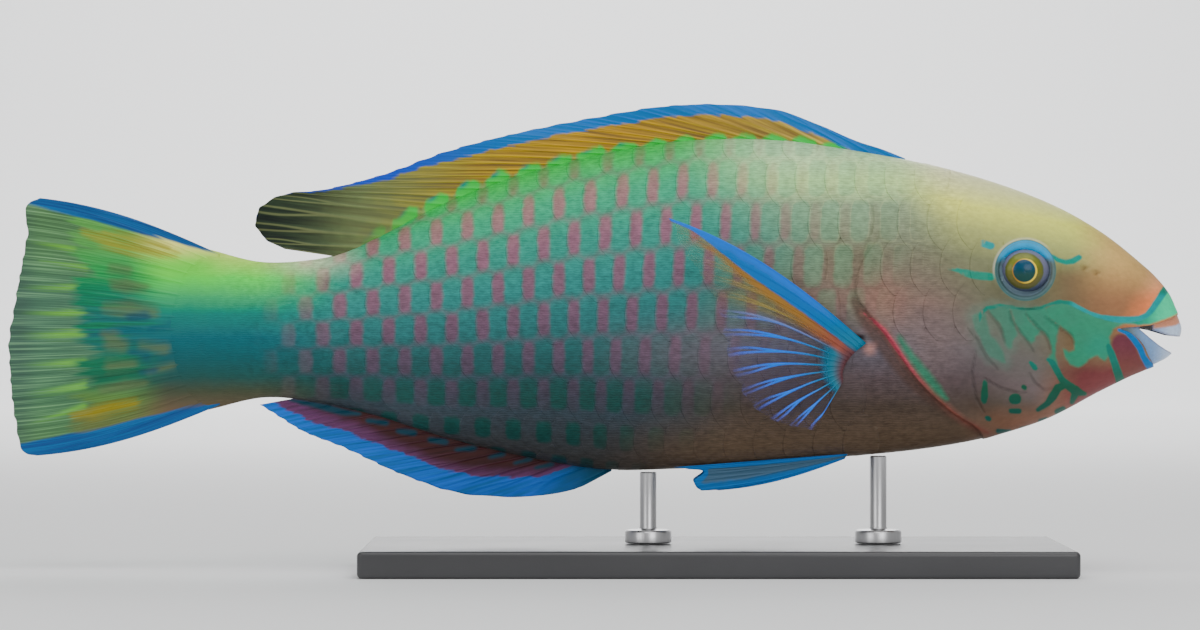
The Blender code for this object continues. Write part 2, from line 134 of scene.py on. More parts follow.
GILL_PROUD, GILL_ROLL, GILL_TOP, GROOVE_DEPTH = 1.1, 9.0, 30.0, 0.55
UPPER_LIP = [(13.3, -0.3), (10.5, 0.0), (5.7, 1.4), (1.3, 3.2), (-3.0, 5.0)]
LOWER_LIP = [(17.2, -2.0), (14.0, -4.2), (12.1, -6.4), (10.9, -8.8), (9.5, -11.0), (7.2, -14.0)]
MOUTH_CORNER = (19.6, -1.2)
LIP_PATH = UPPER_LIP[::-1] + [MOUTH_CORNER] + LOWER_LIP
LIP_PROUD, LIP_ROLL = 0.6, 3.0
EYE_CENTRE, EYE_RADII, EYE_SUNK = (48.7, 15.9), (7.6, 5.2, 6.6), 2.9
ORBIT_RADIUS, ORBIT_PROUD = 9.0, 0.7
SOCKET_DEPTH, SOCKET_EDGE = 1.5, (7.3, 8.0)
NOSTRILS, NOSTRIL_RIM, NOSTRIL_DEPTH = [(26.8, 15.5), (30.5, 17.0)], 0.25, 1.3
COAT_DEPTH = 0.35


def ring_faces(rings, size, first=0):
    """Faces between closed rings of size points, ring after ring."""
    faces = []
    for r in range(rings - 1):
        for k in range(size):
            here, there = first + r * size, first + (r + 1) * size
            n = (k + 1) % size
            faces.append((here + k, there + k, there + n, here + n))
    return faces


def closed_mesh(name, points, faces, weld=0.0):
    """A smooth closed mesh with its faces turned outwards; weld joins points as close as that."""
    mesh = bpy.data.meshes.new(name)
    mesh.from_pydata(points, [], faces)
    shaper = bmesh.new()
    shaper.from_mesh(mesh)
    if weld:
        bmesh.ops.remove_doubles(shaper, verts=shaper.verts, dist=weld)
    bmesh.ops.recalc_face_normals(shaper, faces=shaper.faces)
    shaper.to_mesh(mesh)
    shaper.free()
    mesh.shade_smooth()
    return mesh


def smooth_profile(points, bluntness=0.5):
    """A smooth function through the points; the power rounds it at the snout."""
    at = np.array([p[0] for p in points], float) ** bluntness
    value = np.array([p[1] for p in points], float)
    slope = np.gradient(value, at)

    def profile(distance):
        x = np.clip(np.asarray(distance, float), 0, points[-1][0]) ** bluntness
        i = np.clip(np.searchsorted(at, x, side="right") - 1, 0, len(at) - 2)
        step = at[i + 1] - at[i]
        t = (x - at[i]) / step
        return ((1 + 2 * t) * (1 - t) ** 2 * value[i] + t * (1 - t) ** 2 * step * slope[i]
                + t * t * (3 - 2 * t) * value[i + 1] + t * t * (t - 1) * step * slope[i + 1])
    return profile


def smooth_path(points):
    """A smooth path through the points, as a function of the share of its length."""
    points = np.array(points, float)
    length = np.concatenate([[0], np.cumsum(np.linalg.norm(np.diff(points, axis=0), axis=1))])
    share = length / length[-1]
    across = smooth_profile(list(zip(share, points[:, 0])), 1.0)
    up = smooth_profile(list(zip(share, points[:, 1])), 1.0)
    return lambda u: np.array([across(u), up(u)])


def ramp(value, low, high):
    t = np.clip((np.asarray(value, float) - low) / (high - low), 0, 1)
    return t * t * (3 - 2 * t)


back, belly = smooth_profile(BACK), smooth_profile(BELLY)
half_width = smooth_profile(HALF_WIDTH)
gill_line = smooth_path(GILL_EDGE)(np.linspace(0, 1, 200)).T
lip_line = smooth_path(LIP_PATH)(np.linspace(0, 1, 400)).T


def section(distance):
    """Middle height, reach up and down, and half width of the body, rounded off in the tail fin."""
    top, bottom = back(distance), belly(distance)
    past = np.clip((np.asarray(distance, float) - STEM_END) / (SKIN_END - STEM_END), 0, 1)
    reach = (top - bottom) / 2 * np.sqrt(np.maximum(1 - past ** 2, 0)) ** 0.8
    wide = half_width(distance) * (1 - 0.8 * past)
    return (top + bottom) / 2, reach, wide


def gill_at(height):
    return np.interp(-np.asarray(height, float), -gill_line[:, 1], gill_line[:, 0])


def hump(places, centre, width):
    return np.exp(-((places - centre) / width) ** 2)


def lip_distance(distance, height):
    """How far a place near the mouth is from the edge of the lips."""
    near = distance < 30
    off = np.full(np.shape(distance), 99.0)
    for point in lip_line[::8]:
        off = np.where(near, np.minimum(off, np.hypot(distance - point[0], height - point[1])), off)
    return off


def relief(distance, height, behind_gill):
    """How far the skin stands out of the smooth body, in millimetres."""
    ahead = gill_at(height) - distance
    fade = ramp(-height, -GILL_TOP, -GILL_TOP + 12)
    cover = GILL_PROUD * fade * (1 - ramp(ahead, 0, GILL_ROLL))
    groove = -GROOVE_DEPTH * fade * hump(ahead, -1.2, 1.6)
    out = np.where(behind_gill, groove, cover)
    past_eye, over_eye = distance - EYE_CENTRE[0], height - EYE_CENTRE[1]
    out = out + ORBIT_PROUD * hump(np.hypot(past_eye, over_eye * 1.05), ORBIT_RADIUS, 1.5)
    out = out - SOCKET_DEPTH * (1 - ramp(np.hypot(past_eye, over_eye * 1.13), *SOCKET_EDGE))
    out = out + LIP_PROUD * (1 - ramp(lip_distance(distance, height), 0, LIP_ROLL))
    for nostril in NOSTRILS:
        pit = np.hypot(distance - nostril[0], height - nostril[1])
        out = out + NOSTRIL_RIM * hump(pit, 1.3, 0.5) - NOSTRIL_DEPTH * (1 - ramp(pit, 0.3, 1.1))
    return out


def skin_point(distance, turn, side, lift=0.0, behind_gill=None):
    """A point of the body's surface in metres; turn runs from 0 on the back to pi on the belly."""
    middle, reach, wide = section(distance)
    up, out = np.cos(turn), np.sin(turn)
    height = middle + reach * up
    power = np.where(up > 0, BACK_SHARPNESS, BELLY_SHARPNESS)
    across = wide * np.abs(out) ** power
    if behind_gill is None:
        behind_gill = distance > gill_at(height)
    swell = relief(distance, height, behind_gill) * np.clip(np.abs(out), 0, 1) ** 0.5 + lift
    tilt = np.arctan2(np.abs(up) * wide, np.maximum(reach, 1e-6) * np.maximum(np.abs(out), 1e-3))
    across = np.maximum(across + swell * np.cos(tilt), 0) * np.where(np.abs(out) < 1e-6, 0, 1)
    height = height + swell * np.sin(tilt) * np.sign(up)
    return (TOTAL_LENGTH / 2 - distance) * MM, side * across * MM, (AXIS_HEIGHT + height) * MM


def seen_at(x, y, z):
    """Where the camera sees a point, or its mirror image, in pixels of the photograph."""
    grow = CAMERA_DISTANCE / (CAMERA_DISTANCE - np.abs(y))
    return (PHOTO_WIDTH / 2 + (x - AIM.x) * grow / PIXEL,
            PHOTO_HEIGHT / 2 - (z - AIM.z) * grow / PIXEL)


# The scales stand in rows and columns. Rows are counted from the back down, columns from the
# tail forwards; a scale of an even row sits half a step on. Both are read off the photograph: how
# far down the middle row is and how far the rows are apart at places across, and the columns.
MIDDLE_ROW_DOWN = [(200, 338), (330, 334), (450, 328), (570, 317), (690, 311), (1200, 309)]
ROW_STEP = [(200, 24), (340, 28), (440, 33), (500, 35.6), (560, 39), (624, 42), (690, 44.5),
            (1200, 46.5)]
FIRST_ROW, MIDDLE_ROW, LAST_ROW, LEAST_STEP = 1, 4, 7, 4.0
COLUMN_START, COLUMN_STEP, COLUMN_STRETCH, COLUMN_SETTLE = 270.0, 29.8, 22.0, 3.2
STEM_COLUMN_STEP = 36
SHEAR, SHEAR_ROW, SHEAR_START, SHEAR_END = 2.0, 3, 560, 640
TURNS = np.linspace(0.001, math.pi - 0.001, 260)
STATIONS = np.linspace(2, SKIN_END - 1, 304)
ROWS_GRID = np.linspace(-3, 12, 301)

column_number = np.linspace(-4, 31, 800)
column_forward = np.maximum(column_number, 0)
column_pixel = COLUMN_START + np.where(
    column_number > 0,
    COLUMN_STEP * column_number + COLUMN_STRETCH * (1 - np.exp(-column_forward / COLUMN_SETTLE)),
    STEM_COLUMN_STEP * column_number)


def from_list(points, at):
    return np.interp(at, [p[0] for p in points], [p[1] for p in points])


def section_arc(distance):
    """Length along the skin from the back, at each of TURNS."""
    middle, reach, wide = section(distance)
    power = np.where(np.cos(TURNS) > 0, BACK_SHARPNESS, BELLY_SHARPNESS)
    y, h = wide * np.sin(TURNS) ** power, middle + reach * np.cos(TURNS)
    return np.concatenate([[0], np.cumsum(np.hypot(np.diff(y), np.diff(h)))])


def section_rows(distance, arc):
    """Row numbers at each of TURNS, run on evenly along the skin over the back and the belly."""
    x, y, z = skin_point(np.full(TURNS.shape, distance), TURNS, 1.0, behind_gill=True)
    px, py = seen_at(x, y, z)
    row = MIDDLE_ROW + (py - from_list(MIDDLE_ROW_DOWN, px)) / from_list(ROW_STEP, px)
    row = np.maximum.accumulate(row)
    arc_first, arc_last = np.interp([FIRST_ROW, LAST_ROW], row, arc)
    step = max((arc_last - arc_first) / (LAST_ROW - FIRST_ROW), LEAST_STEP)
    row = np.where(row < FIRST_ROW, FIRST_ROW - (arc_first - arc) / step, row)
    return np.where(row > LAST_ROW, LAST_ROW + (arc - arc_last) / step, row)


arc_table = np.array([section_arc(station) for station in STATIONS])
rows_table = np.array([section_rows(*pair) for pair in zip(STATIONS, arc_table)])
turns_table = np.array([np.interp(ROWS_GRID, rows, TURNS) for rows in rows_table])


def look_up(table, distance, second, grid):
    """Reads a table over STATIONS and a second even grid, with values between its entries."""
    i = np.clip((distance - STATIONS[0]) / (STATIONS[1] - STATIONS[0]), 0, len(STATIONS) - 1.001)
    j = np.clip((second - grid[0]) / (grid[1] - grid[0]), 0, len(grid) - 1.001)
    i0, j0 = i.astype(int), j.astype(int)
    fi, fj = i - i0, j - j0
    return ((table[i0, j0] * (1 - fj) + table[i0, j0 + 1] * fj) * (1 - fi)
            + (table[i0 + 1, j0] * (1 - fj) + table[i0 + 1, j0 + 1] * fj) * fi)


def column_shear(row, pixel):
    return SHEAR * (row - SHEAR_ROW) * ramp(pixel, SHEAR_START, SHEAR_END)


def column_at(pixel, row):
    return np.interp(pixel + column_shear(row, pixel), column_pixel, column_number)


def place_of(column, row):
    """Distance and turn of a place given by column and row."""
    px = np.interp(column, column_number, column_pixel)
    past_middle = (px - column_shear(row, px) - PHOTO_WIDTH / 2) * PIXEL / MM
    middle = TOTAL_LENGTH / 2 - AIM.x / MM
    distance = middle - past_middle
    for _ in range(3):
        turn = look_up(turns_table, distance, row, ROWS_GRID)
        y = skin_point(distance, turn, 1.0, behind_gill=True)[1]
        distance = middle - past_middle * (CAMERA_DISTANCE - y) / CAMERA_DISTANCE
    return distance, turn


def unwrap(distance, turn, side):
    """The skin laid flat, left side below and right side above, at one scale."""
    per_mm = 0.96 / SKIN_END
    arc = look_up(arc_table, distance, turn, TURNS)
    return 0.02 + distance * per_mm, np.where(side < 0, 0.52, 0.02) + arc * per_mm


FAR = 60.0


def distance_to_line(px, py, points):
    """Distance to a line of (x, y, half width) points, less its half width."""
    best = np.full(px.shape, FAR)
    for (ax, ay, ar), (bx, by, br) in zip(points, points[1:]):
        dx, dy = bx - ax, by - ay
        t = np.clip(((px - ax) * dx + (py - ay) * dy) / (dx * dx + dy * dy), 0, 1)
        best = np.minimum(best, np.hypot(px - ax - t * dx, py - ay - t * dy) - ar - (br - ar) * t)
    return best


def distance_to_patch(px, py, outline):
    """Signed distance to a closed outline, negative inside."""
    inside = np.zeros(px.shape, bool)
    for (ax, ay), (bx, by) in zip(outline, outline[1:] + outline[:1]):
        crosses = (ay > py) != (by > py)
        with np.errstate(divide="ignore", invalid="ignore"):
            inside ^= crosses & (px < (bx - ax) * (py - ay) / (by - ay) + ax)
    edge = distance_to_line(px, py, [(*p, 0) for p in outline + outline[:1]])
    return np.where(inside, -edge, edge)


# The head's markings, drawn over the photograph in its pixels. A line holds places
# (across, down, half width), and an outline holds corners (across, down).
TEAL_LINES = [
    [(979, 321, 0.8), (981, 313, 1.6), (987, 308, 1.8), (1000, 305.5, 1.4), (1012, 307, 1.0),
     (1025, 309.5, 0.8), (1040, 308, 0.8), (1050, 304, 1.0), (1060, 301.5, 1.6), (1070, 303, 1.6),
     (1080, 308, 1.4), (1090, 313, 1.4), (1100, 316.5, 1.6), (1110, 318.5, 2.4), (1120, 319.5, 2.8),
     (1130, 319.5, 2.6), (1139, 318.5, 2.2), (1147, 315, 2.4), (1153, 308, 2.8), (1159, 299, 3.0),
     (1165, 290, 3.4)],
    [(983, 243.5, 3.3), (991, 246.0, 3.4)],
    [(964, 272.5, 3.0), (974, 275, 3.8), (991, 277, 3.6)],
    [(940, 266, 0.8), (961, 271, 1.8)],
    [(1052, 255.5, 1.0), (1058, 260, 1.8), (1066, 262.3, 2.2), (1073, 261, 2.4), (1079, 257.5, 2.6)],
    [(1108.5, 346, 2.0), (1111, 353, 3.2), (1115, 364, 3.6), (1120, 380, 4.2)],
    [(1047, 359, 1.0), (1052, 362, 2.6), (1057, 371, 3.0), (1062, 380, 3.0), (1069, 386, 4.0),
     (1076, 391, 4.6), (1085, 394, 1.6)],
    [(1075, 394, 3.6), (1072, 402, 2.0)],
    [(1067, 384, 2.4), (1058, 388, 3.8), (1053, 396, 4.0), (1048, 403, 2.8), (1038, 410, 1.8)],
    [(1030.5, 362.5, 1.4), (1035, 367.5, 2.6)], [(1023.5, 387, 2.2), (1024.5, 387.6, 2.2)],
    [(1014, 399, 5.0), (1016, 399, 5.0)], [(1011, 411, 2.2), (1019, 411, 2.4)],
    [(985, 382, 2.2), (984.5, 396, 3.2), (984, 401, 2.6)], [(987, 418, 2.2), (989, 419, 2.2)],
    [(1057, 411.5, 2.2), (1063, 409, 2.4)], [(1040, 421, 1.8), (1046, 419.5, 2.0)],
    [(998, 431, 2.0), (1010, 431.5, 1.6)], [(1021, 429, 1.6), (1029, 427, 1.6)],
]
LIP_LINE = [(1119, 330, 1.2), (1127, 332.5, 2.2), (1134, 339.5, 2.8), (1140, 348, 2.8),
            (1143.5, 357, 2.6), (1148, 364, 3.4), (1154, 370, 4.5)]
CHEEK_GREEN = [
    [(1045, 308), (1058, 302), (1070, 303), (1088, 312), (1104, 318), (1128, 321), (1138, 321),
     (1120, 325), (1114, 329), (1110, 337), (1111, 345), (1112, 354), (1105, 361), (1097, 356),
     (1090, 359), (1085, 364), (1079, 368), (1070, 365), (1065, 357), (1063, 348), (1069, 352),
     (1074, 350), (1074, 341), (1070, 334), (1058, 325), (1047, 316)],
    [(1024, 308), (1045, 307), (1050, 318), (1060, 326), (1058, 333), (1056, 343), (1056, 356),
     (1058, 366), (1054, 370), (1047, 359), (1052, 352), (1050, 342), (1045, 333), (1036, 328),
     (1027, 317)],
    [(1009, 306), (1025, 307), (1029, 320), (1038, 329), (1043, 334), (1036, 336), (1035, 341),
     (1031, 344), (1028, 341), (1020, 333), (1015, 323)],
    [(987, 308), (1009, 306), (1014, 322), (1018, 335), (1013, 341), (1012, 348), (1009, 350),
     (1005, 345), (1003, 333), (1000, 324), (990, 313)],
    [(972, 316), (985, 309), (987, 318), (990, 335), (999, 343), (1004, 355), (1006, 363),
     (1001, 362), (990, 357), (984, 349), (980, 338), (974, 328)]]
CHEEK_FOLDS = [
    [(985, 309, 0.4), (995, 320, 0.8), (1001, 329, 0.8), (1005, 343, 0.2)],
    [(1010, 312, 0.2), (1011, 320, 0.6), (1020, 332, 0.9), (1028, 342, 0.4), (1034, 352, 0.0)],
    [(1026, 314, 0.3), (1040, 329, 0.9), (1047, 336, 0.9), (1051, 350, 0.3)],
    [(1045, 317, 0.3), (1062, 330, 1.0), (1071, 335, 1.0), (1074, 343, 0.4)],
    [(968, 327, 0.2), (977, 339, 0.6), (986, 357, 0.7), (998, 369, 0.1)],
    [(984, 378, 0.0), (1000, 388, 0.5), (1018, 393, 0.4), (1026, 392, 0.0)],
    [(1030, 374, 0.1), (1034, 382, 0.5), (1044, 390, 0.4), (1052, 388, 0.0)],
    [(976, 352, 0.1), (972, 372, 0.5), (976, 398, 0.5), (984, 412, 0.1)]]
SNOUT_GREEN = [(1166, 287), (1176, 298), (1180, 312), (1168, 318), (1150, 324), (1138, 325),
               (1124, 323), (1138, 320), (1149, 314), (1158, 301)]
LOWER_LIP_PINK = [(1111, 345), (1113, 338), (1118, 334), (1124, 334), (1131, 339), (1137, 349),
                  (1141, 359), (1148, 367), (1142, 375), (1126, 383), (1122, 372), (1115, 358)]
GILL_STRIPE = [(899, 336, 1.0), (903, 344, 2.6), (911, 356, 3.4), (921, 369, 3.8), (930, 380, 4.0),
               (939, 391, 3.4), (946, 399, 1.6)]
GILL_PINK = [(862, 312, 0.2), (874, 321, 1.6), (884, 330, 2.2), (893, 343, 2.2), (902, 356, 2.0),
             (912, 370, 1.8), (923, 383, 1.6), (934, 394, 1.6), (948, 408, 1.6), (964, 421, 1.6),
             (988, 433, 1.2)]
PECTORAL_BASE = [(826, 366, 2.0), (832, 372, 5.0), (838, 365, 5.0), (846, 356, 3.0)]
GILL_SHADE = [(853, 300, 1.5), (862, 316, 5.0), (874, 330, 7.0), (885, 345, 7.5), (896, 361, 6.5),
              (910, 379, 5.0), (926, 395, 4.2), (948, 413, 3.2), (975, 429, 2.2)]


# How each marking is measured. The head's markings all lie in front of HEAD_START.
HEAD_START = 820
MARKINGS = {"teal_line": (distance_to_line, TEAL_LINES),
            "cheek_green": (distance_to_patch, CHEEK_GREEN),
            "cheek_fold": (distance_to_line, CHEEK_FOLDS),
            "snout_green": (distance_to_patch, [SNOUT_GREEN]),
            "lip_line": (distance_to_line, [LIP_LINE]),
            "lip_pink": (distance_to_patch, [LOWER_LIP_PINK]),
            "gill_stripe": (distance_to_line, [GILL_STRIPE]),
            "gill_edge": (distance_to_line, [GILL_PINK]),
            "gill_shade": (distance_to_line, [GILL_SHADE]),
            "pectoral_base": (distance_to_line, [PECTORAL_BASE])}


def nearest(measure, px, py, drawings):
    return np.minimum.reduce([measure(px, py, drawn) for drawn in drawings])


def write_attribute(mesh, name, values):
    layer = mesh.attributes.new(name, "FLOAT", "POINT")
    layer.data.foreach_set("value", np.asarray(values, np.float32))


def write_places(mesh, points):
    """Stores where the camera sees each point, across and down in pixels."""
    px, py = seen_at(points[:, 0], points[:, 1], points[:, 2])
    write_attribute(mesh, "across", px)
    write_attribute(mesh, "down", py)
    return px, py


def mesh_points(mesh):
    points = np.empty(len(mesh.vertices) * 3)
    mesh.vertices.foreach_get("co", points)
    return points.reshape(-1, 3)


def write_markings(mesh, distance, turn, inside=0.0):
    """Stores on every point what the shared skin finish reads."""
    px, py = write_places(mesh, mesh_points(mesh))
    row = look_up(rows_table, distance, turn, TURNS)
    write_attribute(mesh, "column", column_at(px, row))
    write_attribute(mesh, "row", row)
    write_attribute(mesh, "depth", (1 - np.cos(turn)) / 2)
    head = px > HEAD_START
    for name, (measure, drawings) in MARKINGS.items():
        off = np.full(px.shape, FAR)
        off[head] = nearest(measure, px[head], py[head], drawings)
        write_attribute(mesh, name, off)
    write_attribute(mesh, "mouth_inside", np.zeros(px.shape) + inside)


# The sheet's points stand in rings, from inside the mouth over lips and gill edge to the tail.
HALF_LINES, HEAD_RINGS, BODY_RINGS = 112, 150, 170
RING_SIZE = 2 * HALF_LINES
EYE_TURN, MOUTH_TURN, BEHIND_GILL = 1.25, 1.8, 0.25
INNER_LIPS = [(1.6, -2.0), (0.6, -1.3), (0.0, -0.5)]


def spread(places, density, count):
    """Picks count places out of many, closer together where the density is high."""
    share = np.concatenate([[0], np.cumsum(density[1:] + density[:-1])])
    return np.interp(np.linspace(0, 1, count), share / share[-1], places)


def lip_places(line, count):
    """Evenly spaced places along a lip, from the middle of the mouth to its corner."""
    middle, reach, _ = section(line[:, 0])
    up = (line[:, 1] - middle) / np.maximum(reach, 1e-6)
    keep = (np.abs(up) <= 1) & (line[:, 0] > 0.05)
    line, turn = line[keep], np.arccos(up[keep])
    x, y, z = skin_point(line[:, 0], turn, 1.0, behind_gill=False)
    steps = np.sqrt(np.diff(x) ** 2 + np.diff(y) ** 2 + np.diff(z) ** 2)
    gone = np.concatenate([[0], np.cumsum(steps)])
    at = np.linspace(0, gone[-1], count)
    return np.interp(at, gone, line[:, 0]), np.interp(at, gone, turn)


def lip_ring(half_turns):
    """Half a ring along the edge of both lips."""
    fine = smooth_path(LIP_PATH)(np.linspace(0, 1, 6000)).T
    corner_at = int(np.argmax(fine[:, 0]))
    corner = int(np.argmin(np.abs(half_turns - MOUTH_TURN)))
    upper_s, upper_t = lip_places(fine[:corner_at + 1], corner + 1)
    lower_s, lower_t = lip_places(fine[corner_at:], HALF_LINES - corner + 1)
    s, t = np.concatenate([upper_s, lower_s[1:]]), np.concatenate([upper_t, lower_t[1:]])
    t[0], t[-1] = 0.0, math.pi
    return s, t


def skin_rings():
    """Half rings as distances, turns, whether behind the gill edge, and lift off the body."""
    fine_turn = np.linspace(0, math.pi, 2000)
    half_turns = spread(fine_turn, 1 + 1.4 * hump(fine_turn, EYE_TURN, 0.3), HALF_LINES + 1)
    lip_s, lip_t = lip_ring(half_turns)
    gill_s = np.full(HALF_LINES + 1, 90.0)
    for _ in range(40):
        middle, reach, _ = section(gill_s)
        gill_s = 0.5 * gill_s + 0.5 * gill_at(middle + reach * np.cos(half_turns))
    rings = [(lip_s + back_by, lip_t, False, lift) for back_by, lift in INNER_LIPS]
    along = np.linspace(0, 1, 2000)
    density = 1 + 1.2 * hump(along, 0.47, 0.1) + 2.5 * hump(along, 0, 0.08)
    for a in spread(along, density, HEAD_RINGS):
        turns = lip_t + (half_turns - lip_t) * float(ramp(a, 0, 0.38))
        rings.append((lip_s + (gill_s - lip_s) * a, turns, False, 0.0))
    start = gill_s + BEHIND_GILL
    for b in np.linspace(0, 1, BODY_RINGS):
        rings.append((start + (SKIN_END - start) * b, half_turns, True, 0.0))
    return rings


def write_unwrap(mesh, u, v_right, v_left):
    """Lays each face on the island of its own side."""
    layer = mesh.uv_layers.new(name="OFBake")
    corners = np.empty(len(mesh.loops), int)
    mesh.loops.foreach_get("vertex_index", corners)
    starts, totals = np.empty(len(mesh.polygons), int), np.empty(len(mesh.polygons), int)
    mesh.polygons.foreach_get("loop_start", starts)
    mesh.polygons.foreach_get("loop_total", totals)
    mean_y = np.add.reduceat(mesh_points(mesh)[:, 1][corners], starts) / totals
    right = np.repeat(mean_y < 0, totals)
    uv = np.stack([u[corners], np.where(right, v_right[corners], v_left[corners])], 1)
    layer.data.foreach_set("uv", uv.ravel())


def skin_sheet():
    """The whole sheet, closed behind the teeth and inside the tail fin."""
    rings = skin_rings()
    points, distances, turns = [], [], []
    side = np.concatenate([np.full(HALF_LINES + 1, -1.0), np.full(HALF_LINES - 1, 1.0)])
    for s, t, behind, lift in rings:
        s, t = (np.concatenate([half, half[-2:0:-1]]) for half in (s, t))
        lift = lift - COAT_DEPTH * ramp(s, 60, 100)
        points.append(np.stack(skin_point(s, t, side, lift=lift, behind_gill=behind), 1))
        distances.append(s)
        turns.append(t)
    points, distances, turns = map(np.concatenate, (points, distances, turns))
    front = [(k, k + 1, RING_SIZE - k - 1, RING_SIZE - k) for k in range(1, HALF_LINES - 1)]
    front += [(0, 1, RING_SIZE - 1), (HALF_LINES - 1, HALF_LINES, HALF_LINES + 1)]
    last = (len(rings) - 1) * RING_SIZE
    rear = [tuple(last + i for i in face[::-1]) for face in front]
    mesh = closed_mesh("skin", points.tolist(), ring_faces(len(rings), RING_SIZE) + front + rear)
    inside_mouth = np.arange(len(points)) < RING_SIZE * len(INNER_LIPS)
    write_markings(mesh, distances, turns, inside_mouth.astype(float))
    u, v_right = unwrap(distances, turns, np.full(distances.shape, -1.0))
    v_left = unwrap(distances, turns, np.full(distances.shape, 1.0))[1]
    write_unwrap(mesh, u, v_right, v_left)
    return make_object("skin", mesh)


class Signal:
    """One socket of the finish being made, so that its maths can be written as maths."""

    def __init__(self, finish, socket):
        self.finish, self.socket = finish, socket

    def math(self, operation, *others):
        return self.finish.node("ShaderNodeMath", {"operation": operation},
                                dict(enumerate((self, *others))))

    def __add__(self, other):
        return self.math("ADD", other)

    def __sub__(self, other):
        return self.math("SUBTRACT", other)

    def __rsub__(self, other):
        return self.finish.node("ShaderNodeMath", {"operation": "SUBTRACT"}, {0: other, 1: self})

    def __mul__(self, other):
        return self.math("MULTIPLY", other)

    def __abs__(self):
        return self.math("ABSOLUTE")

    def low(self, other):
        return self.math("MINIMUM", other)

    def high(self, other):
        return self.math("MAXIMUM", other)

    __radd__, __rmul__ = __add__, __mul__

    def ramp(self, low, high):
        """0 below low and 1 above high, smooth between; low may be the larger."""
        start, end, first, final = (low, high, 0.0, 1.0) if low < high else (high, low, 1.0, 0.0)
        return self.finish.node("ShaderNodeMapRange", {"interpolation_type": "SMOOTHSTEP"},
                                {"Value": self, "From Min": start, "From Max": end,
                                 "To Min": first, "To Max": final})

    def band(self, centre, width):
        """1 at centre, fading to 0 at width away from it."""
        return abs(self - centre).ramp(width, 0.0)


def set_stops(elements, stops):
    """Gives a colour ramp its (place, colour) stops."""
    for _ in stops[2:]:
        elements.new(0.5)
    for element, (position, colour) in zip(elements, stops):
        element.position, element.color = position, (*colour, 1)


class Finish:
    """A material of nodes, written as expressions."""

    def __init__(self, name):
        self.material = bpy.data.materials.new(name)
        self.material.use_nodes = True
        self.tree = self.material.node_tree
        self.surface = self.tree.nodes["Principled BSDF"]

    def node(self, kind, settings, inputs, output=0):
        """Adds a node, with its settings first, a ramp's stops among them, and then its sockets."""
        made = self.tree.nodes.new(kind)
        for key, value in settings.items():
            if key == "stops":
                set_stops(made.color_ramp.elements, value)
            else:
                setattr(made, key, value)
        for key, value in inputs.items():
            self.feed(made.inputs[key], value)
        return Signal(self, made.outputs[output])

    def feed(self, socket, value):
        if isinstance(value, Signal):
            self.tree.links.new(value.socket, socket)
        elif socket.type == "RGBA":
            socket.default_value = (*value, 1)
        else:
            socket.default_value = value

    def read(self, name):
        """What was written on the mesh's points under a name."""
        return self.node("ShaderNodeAttribute", {"attribute_name": name}, {}, "Fac")

    def place(self, stretch=(1, 1, 1)):
        spot = self.node("ShaderNodeTexCoord", {}, {}, "Object")
        return self.node("ShaderNodeVectorMath", {"operation": "MULTIPLY"}, {0: spot, 1: stretch})

    def noise(self, scale, detail=2.0, stretch=(1, 1, 1)):
        """Noise about 0, between about -0.5 and 0.5."""
        return self.node("ShaderNodeTexNoise", {}, {"Vector": self.place(stretch), "Scale": scale,
                                                    "Detail": detail}) - 0.5

    def mix(self, factor, first, second):
        return self.node("ShaderNodeMix", {"data_type": "RGBA", "clamp_factor": True},
                         {0: factor, 6: first, 7: second}, 2)

    def colours(self, along_it, stops):
        """A run of colours: (place, colour) stops along a signal of 0 to 1."""
        return self.node("ShaderNodeValToRGB", {"stops": stops}, {0: along_it})

    def straight(self, signal, here, there, clamp=True):
        """Runs evenly from the first to the second of there as the signal does so in here."""
        return self.node("ShaderNodeMapRange", {"clamp": clamp},
                         {"Value": signal, "From Min": here[0], "From Max": here[1],
                          "To Min": there[0], "To Max": there[1]})

    def scaled(self, colour, factor):
        return self.node("ShaderNodeVectorMath", {"operation": "SCALE"}, {0: colour, "Scale": factor})

    def bump(self, height, distance):
        normal = self.node("ShaderNodeBump", {}, {"Height": height, "Distance": distance}, "Normal")
        self.feed(self.surface.inputs["Normal"], normal)

    def set(self, **sockets):
        for socket, value in sockets.items():
            self.feed(self.surface.inputs[socket.replace("_", " ")], value)
        return self.material


def tail_colours(f, across, down):
    """Yellow green on top of the tail stem and fin root, through teal, to brown below, partly the
    fish's countershading and partly painted shade of the light from above.
    """
    colour = f.colours((down - 245.0) * (1 / 165.0), [
        (0.0, (0.9, 0.9, 0.202)), (0.10, (0.445, 0.9, 0.092)), (0.20, (0.062, 0.803, 0.061)),
        (0.32, (0.018, 0.399, 0.133)), (0.42, (0, 0.2, 0.157)), (0.56, (0, 0.12, 0.148)),
        (0.70, (0, 0.091, 0.1)), (0.80, (0.009, 0.074, 0.064)), (0.88, (0.047, 0.064, 0.034)),
        (1.0, (0.128, 0.085, 0.045))])
    grassy = across.ramp(235.0, 195.0) * down.band(268.0, 20.0)
    return f.mix(grassy * 0.75, colour, (0.077, 0.76, 0.025))
